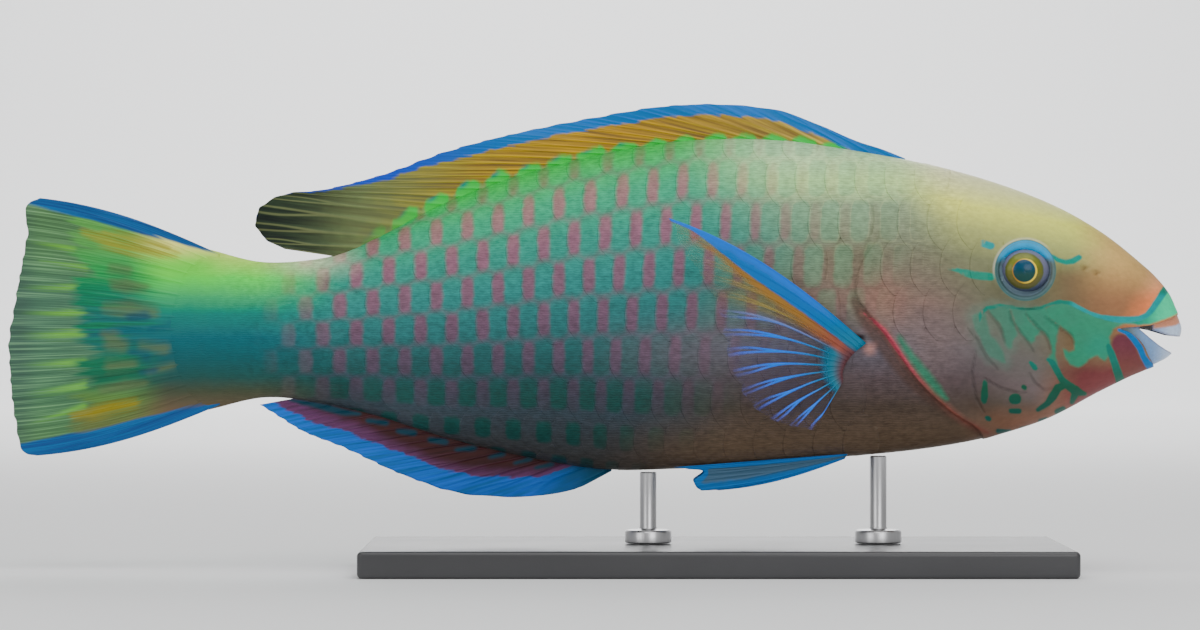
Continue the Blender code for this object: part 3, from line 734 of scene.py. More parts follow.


# Colours of the flank by row of scales, from the back down. They darken towards the belly,
# partly the fish's countershading and partly painted shade of the light from above.
FLANK_ROWS = 11
CELL_COLOURS = [
    (0, 0.6, 0.041), (0, 0.592, 0.073), (0, 0.406, 0.176), (0.006, 0.287, 0.196),
    (0.006, 0.223, 0.194), (0.007, 0.151, 0.148), (0.004, 0.088, 0.087), (0, 0.053, 0.043),
    (0, 0.036, 0.03), (0.006, 0.032, 0.032), (0.032, 0.043, 0.04)]
BAR_COLOURS = [
    (0.142, 0.237, 0.063), (0.2, 0.216, 0.077), (0.34, 0.153, 0.158), (0.266, 0.091, 0.155),
    (0.205, 0.081, 0.137), (0.142, 0.061, 0.112), (0.089, 0.05, 0.091), (0.044, 0.032, 0.055),
    (0.035, 0.029, 0.032), (0.049, 0.037, 0.032), (0.07, 0.052, 0.04)]
BETWEEN_COLOURS = [
    (0.018, 0.504, 0.073), (0.063, 0.422, 0.1), (0.106, 0.281, 0.171), (0.082, 0.217, 0.17),
    (0.072, 0.168, 0.163), (0.059, 0.116, 0.132), (0.036, 0.077, 0.099), (0.02, 0.042, 0.058),
    (0.023, 0.029, 0.035), (0.037, 0.035, 0.032), (0.07, 0.052, 0.04)]

# Soft patches of colour, in pixels of the photograph. A ramp fades in from the first pixel to the
# second, a band fades out round the first by the second. Each line holds the kind of fade, its
# two numbers across and down, how strong the patch is, and its colour.
# Painted highlight: a pale band along the top edge of the tail stem.
STEM_TOP_HIGHLIGHT = [("band", (312, 64), (255, 30), 0.6, (0.9, 0.9, 0.626))]
EYE_BROWN = [("ramp", (1030, 1075), (256, 280), 0.9, (0.174, 0.107, 0.048))]
HEAD_PATCHES = [("band", (885, 42), (298, 44), 0.55, (0.274, 0.126, 0.092)),
                ("band", (935, 60), (345, 44), 0.5, (0.212, 0.137, 0.116)),
                ("ramp", (1030, 1085), (352, 374), 0.95, (0.105, 0.017, 0.021)),
                ("ramp", (950, 1050), (398, 424), 0.7, (0.164, 0.061, 0.032))]
CHEEK_EMERALD = [("band", (1100, 26), (346, 22), 0.8, (0, 0.291, 0.184))]
# Painted shadow: the teal line just under the eye is darkened.
UNDER_EYE_SHADE = [("band", (1029, 20), (307, 14), 1.0, (0, 0.097, 0.06))]
# The first fin root patch is pale flesh; the second is painted shade, a black pit at the pectoral
# fin's root.
FIN_ROOT_PATCHES = [("band", (869, 11), (348, 10), 0.7, (0.479, 0.216, 0.172)),
                    ("band", (859, 7), (336, 5), 1.0, (0.005, 0.002, 0.005))]
EYE_ACROSS, EYE_DOWN = 1025.4, 270.2
SOCKET_PIXELS, RING_PIXELS, HALO_PIXELS = 26.4, 31.0, 31.5


def lay_patches(f, colour, patches):
    for fade, across, down, strength, tint in patches:
        mask = getattr(f.across, fade)(*across) * getattr(f.down, fade)(*down)
        colour = f.mix(mask * strength, colour, tint)
    return colour


def scale_pattern(f):
    """Masks of the pink bar in each scale's middle and of the green cell between two bars."""
    half_step = f.row.math("ROUND").math("MODULO", 2.0).math("ABSOLUTE")
    shifted = f.column + (1 - half_step) * 0.5
    bar_off = abs(shifted - shifted.math("ROUND"))
    row_off = abs(f.row - f.row.math("ROUND"))
    narrow = row_off * row_off * 0.3 + f.row.ramp(1.2, 0.2) * 0.05
    narrow = narrow + f.across.ramp(620.0, 800.0) * 0.04
    bar = (bar_off + narrow).ramp(0.285, 0.105) * row_off.ramp(0.52, 0.32)
    low = f.row.ramp(5.4, 7.2)
    cell_off = (0.5 - bar_off) * (3.3 + low * 0.7)
    tall_off = row_off * (2.2 + low * 1.2)
    cell_off, tall_off = cell_off * cell_off, tall_off * tall_off
    return bar, (cell_off * cell_off + tall_off * tall_off).ramp(2.1, 0.1)


def flank_colours(f, bar, cell):
    """Rows of green cells and pink bars that fade out to the belly and into the tail stem, darker to
    the belly partly from painted shade of the light above, with a painted highlight along the top of
    the tail stem.
    """
    level = (f.row + f.wander * 0.25 + 1.5) * (1 / FLANK_ROWS)
    cell_colour, bar_colour, colour = (
        f.colours(level, [((i + 0.5) / FLANK_ROWS, tint) for i, tint in enumerate(tints)])
        for tints in (CELL_COLOURS, BAR_COLOURS, BETWEEN_COLOURS))
    colour = f.mix(cell * 0.9, colour, cell_colour)
    bar_fade = f.row.ramp(7.0, 5.6) * (f.row.ramp(-0.3, 0.8) * 0.5 + 0.4)
    colour = f.mix(bar * bar_fade, colour, bar_colour)
    belly_brown = f.across.ramp(560.0, 700.0) * f.row.ramp(6.3, 7.4)
    colour = f.mix(belly_brown, colour, (0.043, 0.033, 0.028))
    mauve = f.across.ramp(560.0, 720.0) * f.down.band(350.0, 50.0)
    colour = f.mix(mauve * 0.42, colour, (0.198, 0.101, 0.143))
    rear_bar = bar * 0.22 * f.across.ramp(250.0, 330.0)
    stem = f.mix(rear_bar, tail_colours(f, f.across, f.down), (0.221, 0.155, 0.125))
    colour = f.mix(f.across.ramp(350.0, 250.0), colour, stem)
    return lay_patches(f, colour, STEM_TOP_HIGHLIGHT)


def shoulder_colours(f, bar, cell):
    """Pale above and brown below, partly the fish's countershading and partly painted shade of the
    light from above, with only a trace of the scales' pattern.
    """
    colour = f.colours((f.down - 140.0) * (1 / 310.0), [
        (0.0, (0.599, 0.9, 0.515)), (0.13, (0.523, 0.788, 0.281)), (0.21, (0.242, 0.335, 0.189)),
        (0.36, (0.153, 0.154, 0.093)), (0.52, (0.189, 0.117, 0.094)), (0.67, (0.113, 0.1, 0.127)),
        (0.77, (0.084, 0.057, 0.061)), (0.86, (0.05, 0.034, 0.025)), (1.0, (0.084, 0.056, 0.035))])
    ghost = f.row.ramp(5.0, 3.0) * f.across.ramp(930.0, 820.0)
    colour = f.mix(cell * ghost * 0.32, colour, (0.087, 0.417, 0.206))
    colour = f.mix(bar * ghost * 0.2, colour, (0.266, 0.156, 0.114))
    outline = cell.band(0.4, 0.35) * f.row.ramp(3.6, 1.6) * f.across.ramp(1000.0, 940.0)
    return f.mix(outline * 0.1, colour, (0.9, 0.9, 0.395))


def head_colours(f, colour):
    """Olive forehead, orange snout, mauve cheek and brown throat."""
    # The brow runs from pale above to brown below, partly the head's own colours and partly painted
    # shade of the light from above.
    brow = f.colours((f.down - (f.across - 980.0) * 0.2 - 170.0) * (1 / 280.0), [
        (0.0, (0.9, 0.9, 0.6)), (0.13, (0.802, 0.834, 0.142)), (0.22, (0.394, 0.421, 0.129)),
        (0.32, (0.178, 0.19, 0.088)), (0.42, (0.131, 0.127, 0.069)), (0.54, (0.137, 0.13, 0.094)),
        (0.65, (0.13, 0.117, 0.107)), (0.74, (0.109, 0.082, 0.082)), (0.82, (0.062, 0.049, 0.037)),
        (0.9, (0.097, 0.054, 0.032)), (1.0, (0.125, 0.069, 0.043))])
    colour = f.mix((f.across + (f.down - 280.0) * -0.3).ramp(915.0, 985.0), colour, brow)
    colour = lay_patches(f, colour, EYE_BROWN)
    warm = f.mix(f.down.ramp(250.0, 306.0), (0.685, 0.439, 0.139), (0.316, 0.142, 0.063))
    colour = f.mix(f.across.ramp(1064.0, 1122.0) * f.down.ramp(350.0, 305.0), colour, warm)
    tip = (f.across + (f.down - 290.0) * 0.6).ramp(1130.0, 1164.0) * f.down.ramp(345.0, 305.0)
    tip_colour = f.mix(f.down.ramp(272.0, 306.0), (0.9, 0.436, 0.205), (0.828, 0.213, 0.068))
    colour = f.mix(tip, colour, tip_colour)
    return lay_patches(f, colour, HEAD_PATCHES)


def cheek_marks(f, colour, rough_edge):
    """The green patches of cheek and snout, painted shade in the folds, the pink lip, and the
    turquoise lines with painted shade on the line under the eye.
    """
    cheek_green = f.read("cheek_green")
    cheek_fade = (f.across - f.down * 0.5 + 165.0).ramp(960.0, 1060.0) * 0.4 + 0.5
    tint = (cheek_green + f.wander * 16.0).ramp(12.0, 0.0) * f.across.ramp(1060.0, 1020.0)
    colour = f.mix(tint * 0.3, colour, (0.097, 0.209, 0.16))
    cheek_colour = f.mix((f.across + f.wander * 90.0).ramp(1010.0, 1096.0), (0.022, 0.203, 0.126),
                         (0, 0.269, 0.145))
    cheek_colour = lay_patches(f, cheek_colour, CHEEK_EMERALD)
    cheek = (cheek_green + rough_edge).ramp(1.8, -2.2)
    colour = f.mix(cheek * cheek_fade, colour, cheek_colour)
    # Painted shade: the colour is darkened along the cheek folds.
    colour = f.scaled(colour, 1.0 - f.fold * 0.3)
    snout = (f.read("snout_green") + rough_edge * 0.6).ramp(2.0, -1.5)
    snout_colour = f.mix(f.across.ramp(1140.0, 1168.0), (0, 0.291, 0.184), (0, 0.693, 0.326))
    colour = f.mix(snout, colour, snout_colour)
    pink = (f.read("lip_pink") + rough_edge * 0.5).ramp(2.0, -2.5)
    pink_colour = f.mix(f.down.ramp(340.0, 372.0), (0.149, 0.031, 0.049), (0.183, 0.05, 0.04))
    colour = f.mix(pink, colour, pink_colour)
    teal_colour = f.colours((f.down - 235.0) * (1 / 200.0), [
        (0.0, (0, 0.291, 0.306)), (0.06, (0, 0.291, 0.291)), (0.13, (0, 0.253, 0.184)),
        (0.2, (0, 0.23, 0.145)), (0.33, (0, 0.193, 0.132)), (0.62, (0, 0.176, 0.129)),
        (0.76, (0, 0.088, 0.044)), (1.0, (0, 0.084, 0.071))])
    # Painted shadow on the teal line just under the eye.
    teal_colour = lay_patches(f, teal_colour, UNDER_EYE_SHADE)
    bright = f.across.ramp(1056.0, 1090.0) * f.down.band(312.0, 28.0)
    teal_colour = f.mix(bright.ramp(0.1, 0.5), teal_colour, (0, 0.291, 0.291))
    teal = (f.read("teal_line") + rough_edge * 0.4).ramp(1.4, -0.6)
    colour = f.mix(teal, colour, teal_colour)
    return f.mix(f.read("lip_line").ramp(1.2, -0.6), colour, (0, 0.156, 0.456))


def gill_marks(f, colour, rough_edge):
    """The shade, pink edge and green stripe of the gill cover, the flesh at the pectoral fin, and
    painted shade in a pit at its root.
    """
    colour = f.mix(f.read("gill_shade").ramp(5.0, -3.0) * 0.7, colour, (0.07, 0.032, 0.021))
    edge = f.read("gill_edge")
    edge_colour = f.mix(f.down.ramp(350.0, 400.0), (0.536, 0.054, 0.101), (0.225, 0.066, 0.048))
    colour = f.mix(edge.ramp(5.5, 0.0) * 0.45, colour, (0.243, 0.097, 0.074))
    colour = f.mix(edge.ramp(1.2, -1.2) * 0.75, colour, edge_colour)
    stripe = (f.read("gill_stripe") + rough_edge).ramp(4.0, -3.0)
    colour = f.mix(stripe * 0.8, colour, (0.01, 0.205, 0.106))
    flesh = (f.read("pectoral_base") + rough_edge).ramp(4.0, -2.0)
    colour = f.mix(flesh * 0.85, colour, (0.114, 0.023, 0.023))
    # The pit at the fin's root is painted shade.
    return lay_patches(f, colour, FIN_ROOT_PATCHES)


def eye_surround(f, colour):
    """The ring of skin round the eye: blue on top, grey green at the sides, in a pale halo, with the
    socket wall lightened as painted light against the socket's shade.
    """
    from_eye, below_eye = f.read("across") - EYE_ACROSS, f.read("down") - EYE_DOWN
    off = (from_eye * from_eye + below_eye * below_eye).math("SQRT")
    ring = f.mix(from_eye.ramp(-20.0, 20.0), (0.03, 0.072, 0.071), (0.081, 0.104, 0.09))
    ring = f.mix((below_eye + f.ripple * 3.0).ramp(-6.0, -16.0), ring, (0, 0.361, 0.711))
    ring = f.mix(below_eye.ramp(10.0, 22.0), ring, (0.033, 0.071, 0.079))
    ring = f.mix(off.band(28.2, 1.8) * 0.4, ring, (0.108, 0.23, 0.237))
    # Painted light: the socket wall below the blue crescent is lightened to offset the shade that
    # falls in the socket.
    wall = off.ramp(SOCKET_PIXELS, SOCKET_PIXELS - 1.2) * below_eye.ramp(-15.0, -7.0)
    ring = f.mix(wall * 0.6, ring, (0.142, 0.207, 0.268))
    halo = off.band(HALO_PIXELS, 2.4) * (below_eye + from_eye * 0.5).ramp(0.0, -22.0)
    colour = f.mix(halo * 0.3, colour, (0.9, 0.9, 0.771))
    colour = f.mix(off.ramp(RING_PIXELS, RING_PIXELS - 1.4), colour, ring)
    return f.mix(off.band(30.2, 1.2) * 0.7, colour, (0.035, 0.157, 0.148))


def skin_surface(f, colour, shine):
    """Fine mottling and furrows, in the colour and in relief."""
    grain = f.noise(2600.0, 2.0, (0.22, 1.0, 1.0))
    mottle = f.noise(800.0, 3.0, (0.6, 1.0, 1.0))
    furrows = f.node("ShaderNodeTexWave", {"bands_direction": "Z"},
                     {"Vector": f.place(), "Scale": 440.0, "Distortion": 5.0, "Detail": 2.0,
                      "Detail Scale": 0.9}, "Fac")
    furrows = (furrows - 0.5) * f.across.ramp(985.0, 900.0)
    speckle = (grain * 0.35 + mottle * 1.0) * (f.across.ramp(1000.0, 920.0) * 0.65 + 0.35)
    speckle = (speckle + furrows * 0.16) * (f.across.ramp(180.0, 320.0) * 0.8 + 0.2)
    colour = f.scaled(colour, speckle + 1.0)
    f.bump(grain * 0.3 + f.wander * 0.4 + mottle * 0.5 + furrows * 0.4 - f.fold * 2.0, 0.00008)
    return f.set(Base_Color=colour, Roughness=0.5 + f.wander * 0.2, Specular_IOR_Level=shine)


def skin_finish(name, shine):
    """The whole fish's colours, read from the markings written on skin and scales alike."""
    f = Finish(name)
    f.wander, f.ripple = f.noise(160.0, 3.0), f.noise(420.0, 2.0)
    f.across, f.down = f.read("across") + f.wander * 10.0, f.read("down") + f.wander * 6.0
    f.column, f.row = f.read("column") + f.ripple * 0.10, f.read("row") + f.ripple * 0.12
    f.fold = f.read("cheek_fold").ramp(2.4, -0.6)
    bar, cell = scale_pattern(f)
    fade_front = (f.across + abs(f.down - 240.0) * 0.5).ramp(700.0, 850.0)
    colour = f.mix(fade_front, flank_colours(f, bar, cell), shoulder_colours(f, bar, cell))
    colour = head_colours(f, colour)
    depth = f.read("depth")
    # Painted light and shade: the lower flank and belly are lightened, up to nearly double, to offset
    # the shade under the belly, and the top of the back is darkened as painted rim shade.
    lift = depth.ramp(0.70, 0.97) * f.across.ramp(330.0, 430.0) * 0.85 - depth.ramp(0.16, 0.0) * 0.16
    colour = f.scaled(colour, lift + 1.0)
    rough_edge = f.ripple * 3.0
    colour = gill_marks(f, cheek_marks(f, colour, rough_edge), rough_edge)
    colour = eye_surround(f, colour)
    # Painted shade: the rings inside the lips are near black, for the dark inside of the mouth.
    colour = f.mix(f.read("mouth_inside"), colour, (0.031, 0.009, 0.014))
    return skin_surface(f, colour, shine)


skin = skin_sheet()
skin.data.materials.append(skin_finish("living_skin", 0.22))
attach(skin, "root")
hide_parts("head", "trunk", "tail_stem")

# Scales: large thin rounded plates in overlapping rows, each rooted in the skin under the one in
# front and lifted towards its free rear edge. Each side of the fish is one coat of them.
# Sizes of one scale are shares of a column's and a row's step.
SCALE_REAR, SCALE_FRONT, SCALE_HALF_HEIGHT = -0.26, 0.98, 0.68
SCALE_ROUND_REAR, SCALE_ROUND_FRONT = 0.52, 0.25
SCALE_LIFT, SCALE_THICKNESS, SCALE_SUNK, SCALE_DOME = 0.14, 0.06, 0.06, 0.10
SCALE_ALONG, SCALE_ACROSS = 9, 12
COAT_ROWS, COAT_COLUMNS = range(-1, 11), range(-2, 28)
COAT_START, COAT_END, ROW_SLIP, GILL_CLEAR = 52, SKIN_END - 14, 0.45, 0.8
BARE_CHEEK_LENGTH, BARE_CHEEK_TOP = 96, -4


def grid_faces(rows, columns):
    """Faces of a grid of points, and the row of points round its rim."""
    index = np.arange(rows * columns).reshape(rows, columns)
    faces = np.stack([index[:-1, :-1], index[1:, :-1], index[1:, 1:], index[:-1, 1:]], -1)
    rim = np.concatenate([index[0, :], index[1:, -1], index[-1, -2::-1], index[-2:0:-1, 0]])
    return faces.reshape(-1, 4), rim


def scale_shape():
    """Shares along and across one scale, its places in the lattice, and its faces."""
    across = np.concatenate([[-1], np.linspace(-0.965, 0.965, SCALE_ACROSS - 1), [1]])
    along = np.concatenate([[0, 0.03], np.linspace(0.03, 1, SCALE_ALONG)[1:]])
    along, across = np.meshgrid(along, across, indexing="ij")
    rear = SCALE_REAR + SCALE_ROUND_REAR * np.abs(across) ** 2.4
    front = SCALE_FRONT - SCALE_ROUND_FRONT * np.abs(across) ** 2
    columns, rows = rear + (front - rear) * along, across * SCALE_HALF_HEIGHT
    patch = (SCALE_REAR + 0.02 + 0.96 * (columns - SCALE_REAR) / (SCALE_FRONT - SCALE_REAR),
             across * 0.48)
    faces, rim = grid_faces(*along.shape)
    under = along.size
    skirt = np.stack([rim, rim + under, np.roll(rim, -1) + under, np.roll(rim, -1)], -1)
    faces = np.concatenate([faces, (faces + under)[:, ::-1], skirt[:, ::-1]])
    return along.ravel(), across.ravel(), (columns.ravel(), rows.ravel()), patch, faces


def has_scale(distance, turn, row_at):
    """Scales stay clear of the gill edge, the lower cheek, the snout and the tail fin's root."""
    if np.abs(look_up(rows_table, distance, turn, TURNS) - row_at).max() > ROW_SLIP:
        return False
    middle, reach, _ = section(distance)
    height = middle + reach * np.cos(turn)
    ahead = gill_at(height) - distance
    low = height < GILL_TOP
    if (low & (ahead > -GILL_CLEAR)).any() and (low & (ahead < GILL_CLEAR)).any():
        return False
    if distance.min() < COAT_START or distance.max() > COAT_END:
        return False
    return distance.mean() >= BARE_CHEEK_LENGTH or height.mean() >= BARE_CHEEK_TOP


def scale_coat(name, side):
    """One joined mesh of all the scales of a side."""
    along, across, (columns, rows), (patch_columns, patch_rows), one = scale_shape()
    points, quads, distances, turns, flat = [], [], [], [], []
    for row in COAT_ROWS:
        for column in COAT_COLUMNS:
            centre = column + (0.5 if row % 2 == 0 else 0.0)
            s, t = place_of(centre + columns, row + rows)
            if not has_scale(s, t, row + rows):
                continue
            soft = (1 - 0.35 * ramp(s, 110, 160)) * (1 - 0.9 * ramp(s, 236, 274)) * ramp(s, 50, 72)
            lift = (1 - along) * SCALE_LIFT * soft - SCALE_SUNK + SCALE_DOME * soft * (1 - across ** 2)
            lift = lift - COAT_DEPTH * ramp(s, 60, 100)
            quads.append(one + sum(map(len, points)))
            points += [np.stack(skin_point(s, t, side, lift=lift), 1),
                       np.stack(skin_point(s, t, side, lift=lift - SCALE_THICKNESS), 1)]
            flat_s, flat_t = place_of((centre + patch_columns).ravel(), (row + patch_rows).ravel())
            flat += [np.stack(unwrap(flat_s, flat_t, np.full(flat_s.shape, side)))] * 2
            distances += [s, s]
            turns += [t, t]
    mesh = bpy.data.meshes.new(name)
    mesh.from_pydata(np.concatenate(points).tolist(), [], np.concatenate(quads).tolist())
    if side > 0:
        mesh.flip_normals()
    mesh.shade_smooth()
    write_markings(mesh, np.concatenate(distances), np.concatenate(turns))
    u, v = np.concatenate(flat, 1)
    write_unwrap(mesh, u, v, v)
    return make_object(name, mesh)


scale_finish = skin_finish("scale_plates", 0.3)
for name, side in (("scales_right", -1.0), ("scales_left", 1.0)):
    coat = scale_coat(name, side)
    coat.data.materials.append(scale_finish)
    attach(coat, "root")


# Beak: two hard ivory plates of fused teeth, one in each jaw, open in front. Each is rooted in the
# flesh under its lip and runs forwards and inwards to a biting edge with fine upright ribs.
UPPER_BITE = [(21.0, -0.5), (13.0, -0.9), (9.5, -1.5), (7.3, -2.2), (4.4, -3.1), (1.0, -3.5),
              (-3.0, -3.2)]
LOWER_BITE = [(21.0, -0.3), (14.4, -0.6), (13.2, -1.6), (10.5, -3.8), (7.7, -5.9), (5.4, -7.3),
              (2.9, -8.5), (-3.0, -11.5)]
BEAK_SUNK, BEAK_THICKNESS, BEAK_REAR, UNDER_LIP = 0.55, 1.0, 21.0, 0.9
TOOTH_PITCH, TOOTH_RIB = 1.5, 0.12
BEAK_ALONG, BEAK_DOWN = 60, 18


def height_on(line, distance):
    return np.interp(distance, line[:, 0], line[:, 1])


def beak_layer(lip, bite, inset, under_lip):
    """Rows of (distance, side, height) from under the lip down to the biting edge."""
    fine = np.linspace(0.15, BEAK_REAR, 4000)
    lip_height, bite_height = height_on(lip, fine) + under_lip, height_on(bite, fine)
    middle, reach, wide = section(fine)
    reach, wide = np.maximum(reach - inset, 0.01), np.maximum(wide - inset, 0.01)
    rows = []
    for w in np.linspace(0, 1, BEAK_DOWN + 1):
        h = lip_height + (bite_height - lip_height) * w
        first = int(np.argmax(np.abs(h - middle) / reach < 1))
        s = fine[first] + (BEAK_REAR - fine[first]) * np.linspace(0, 1, BEAK_ALONG + 1) ** 2
        h, mid = np.interp(s, fine, h), np.interp(s, fine, middle)
        power = np.where(h > mid, BACK_SHARPNESS, BELLY_SHARPNESS)
        rise = np.clip(np.abs(h - mid) / np.interp(s, fine, reach), 0, 1)
        y = np.interp(s, fine, wide) * np.sqrt(1 - rise ** 2) ** power
        y[0] = 0
        rows.append(np.stack([s, y, h], 1))
    return np.array(rows)


def beak_faces(index):
    """Faces over both layers of both sides, and round their edges."""
    faces = []
    for side in (-1, 1):
        for j in range(BEAK_DOWN):
            for i in range(BEAK_ALONG):
                faces += [[index[(layer, side, j + dj, i + di)]
                           for dj, di in ((0, 0), (0, 1), (1, 1), (1, 0))] for layer in (0, 1)]
        edges = [((j, i), (j, i + 1)) for i in range(BEAK_ALONG) for j in (0, BEAK_DOWN)]
        edges += [((j, BEAK_ALONG), (j + 1, BEAK_ALONG)) for j in range(BEAK_DOWN)]
        for a, b in edges:
            faces.append([index[(0, side, *a)], index[(0, side, *b)],
                          index[(1, side, *b)], index[(1, side, *a)]])
    return faces


def beak_plate(name, lip, bite, upper):
    """A shell from under the lip to the biting edge, both sides in one."""
    lip, bite = np.array(sorted(lip)), np.array(sorted(bite))
    under_lip = UNDER_LIP if upper else -UNDER_LIP
    outer, inner = (beak_layer(lip, bite, inset, under_lip)
                    for inset in (BEAK_SUNK, BEAK_SUNK + BEAK_THICKNESS))
    gone = np.cumsum(np.hypot(*np.diff(outer[-1][:, :2], axis=0, prepend=outer[-1][:1, :2]).T))
    teeth = 0.5 - 0.5 * np.cos(2 * math.pi * gone / TOOTH_PITCH)
    rows = np.linspace(0, 1, BEAK_DOWN + 1)[:, None]
    outer[:, :, 1] += teeth * TOOTH_RIB * rows ** 0.7 * ramp(gone, 0.0, 0.8)
    points, index = [], {}
    for layer, grid in enumerate((outer, inner)):
        for side in (-1, 1):
            for j in range(BEAK_DOWN + 1):
                for i in range(BEAK_ALONG + 1):
                    key = (layer, 0 if i == 0 else side, j, i)
                    if key not in index:
                        s, y, h = grid[j, i]
                        index[key] = len(points)
                        points.append(((TOTAL_LENGTH / 2 - s) * MM, side * y * MM,
                                       (AXIS_HEIGHT + h) * MM))
                    index[(layer, side, j, i)] = index[key]
    mesh = closed_mesh(name, points, beak_faces(index))
    mesh.set_sharp_from_angle(angle=math.radians(50))
    coords = np.array(points)
    write_places(mesh, coords)
    past, height = TOTAL_LENGTH / 2 - coords[:, 0] / MM, coords[:, 2] / MM - AXIS_HEIGHT
    write_attribute(mesh, "from_lip", np.abs(height - height_on(lip, past)))
    write_attribute(mesh, "from_bite", np.abs(height - height_on(bite, past)))
    write_attribute(mesh, "upper", np.full(len(points), float(upper)))
    return make_object(name, mesh)


def ivory_beak():
    """Ivory that turns blue grey and dark towards the rear as painted shade, with the pattern of the
    fused teeth, the flesh that laps over its top, and painted shade in the gape.
    """
    f = Finish("ivory_beak")
    stain = f.noise(260.0, 3.0)
    teeth = f.node("ShaderNodeTexVoronoi", {}, {"Vector": f.place((1.0, 1.0, 1.6)), "Scale": 900.0})
    across, from_lip, upper = f.read("across"), f.read("from_lip"), f.read("upper")
    # Painted shade: the ivory turns blue grey and then dark towards the rear, where the plates run
    # back under the lips.
    ivory = f.mix(across.ramp(1174.0, 1150.0), (0.546, 0.684, 0.9), (0.152, 0.319, 0.619))
    ivory = f.mix(across.ramp(1146.0, 1126.0), ivory, (0.121, 0.196, 0.195))
    ivory = f.mix((stain * 1.6).high(0.0) * 0.5, ivory, (0.146, 0.172, 0.267))
    ivory = f.mix(teeth.ramp(0.35, 0.6) * 0.12, ivory, (0.27, 0.279, 0.307))
    ivory = f.mix(f.read("from_bite").ramp(0.7, 0.1) * 0.5, ivory, (0.13, 0.096, 0.201))
    lip_deep = (across - 1150.0) * 0.06 + 1.0
    flesh_lip = (from_lip + stain * 0.8 - lip_deep).ramp(0.6, -0.3)
    flesh_lip = flesh_lip * upper * across.ramp(1150.0, 1156.0)
    ivory = f.mix(flesh_lip, ivory, (0.644, 0.253, 0.137))
    # Painted shade: the gape between the plates is painted near black on the upper plate.
    gape = upper * across.ramp(1155.0, 1151.0) * across.ramp(1138.0, 1141.0)
    ivory = f.mix(gape, ivory, (0.006, 0, 0.002))
    f.bump(teeth.ramp(0.2, 0.6) * -0.5 + stain * 0.3, 0.00008)
    return f.set(Base_Color=ivory, Roughness=0.28 + stain * 0.1, Coat_Weight=0.35,
                 Coat_Roughness=0.15)


ivory_finish = ivory_beak()
for name, lip, bite, upper in (("beak_upper", UPPER_LIP, UPPER_BITE, True),
                               ("beak_lower", LOWER_LIP, LOWER_BITE, False)):
    plate = beak_plate(name + "_plate", lip, bite, upper)
    plate.data.materials.append(ivory_finish)
    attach(plate, "root")
    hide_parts(name)


# Eyes: glass-like wet balls, each set in the socket of its own side, with a round dark pupil under
# a slight bulge, a thin gold ring and an olive iris. Each is a little flattened along its axis.
EYE_RINGS, EYE_SECTORS = 96, 128
LENS_HEIGHT, LENS_WIDTH = 0.035, 0.42
LIMBUS_DEPTH, LIMBUS_AT, LIMBUS_WIDTH = 0.012, 0.62, 0.1
PUPIL, GOLD, IRIS_WIDE, IRIS_TALL = 11.3, 12.7, 19.0, 18.2
PUPIL_ACROSS, PUPIL_DOWN = 1024.3, 270.8


def body_side(distance, height):
    middle, reach, wide = section(distance)
    power = BACK_SHARPNESS if height > middle else BELLY_SHARPNESS
    return float(wide * math.sqrt(1 - min(abs(height - middle) / reach, 1) ** 2) ** power)


def eyeball(name, side):
    """A ball flattened along its axis, with the lens standing out a little at the pupil."""
    out = body_side(*EYE_CENTRE) - EYE_SUNK
    verts = [(0, 0, 1)]
    for a in np.linspace(0, math.pi, EYE_RINGS + 1)[1:-1]:
        bulge = (1 + LENS_HEIGHT * math.exp(-(a / LENS_WIDTH) ** 2)
                 - LIMBUS_DEPTH * math.exp(-((a - LIMBUS_AT) / LIMBUS_WIDTH) ** 2))
        for k in range(EYE_SECTORS):
            b = 2 * math.pi * k / EYE_SECTORS
            verts.append((math.sin(a) * math.cos(b), math.sin(a) * math.sin(b), math.cos(a) * bulge))
    verts.append((0, 0, -1))
    end, base = len(verts) - 1, len(verts) - 1 - EYE_SECTORS
    faces = ring_faces(EYE_RINGS - 1, EYE_SECTORS, first=1)
    for k in range(EYE_SECTORS):
        n = (k + 1) % EYE_SECTORS
        faces += [(0, 1 + k, 1 + n), (end, base + n, base + k)]
    points = [((TOTAL_LENGTH / 2 - EYE_CENTRE[0] + x * EYE_RADII[0]) * MM,
               side * (out + z * EYE_RADII[1]) * MM,
               (AXIS_HEIGHT + EYE_CENTRE[1] + y * EYE_RADII[2]) * MM) for x, y, z in verts]
    mesh = closed_mesh(name, points, faces)
    write_places(mesh, np.array(points))
    return make_object(name, mesh)


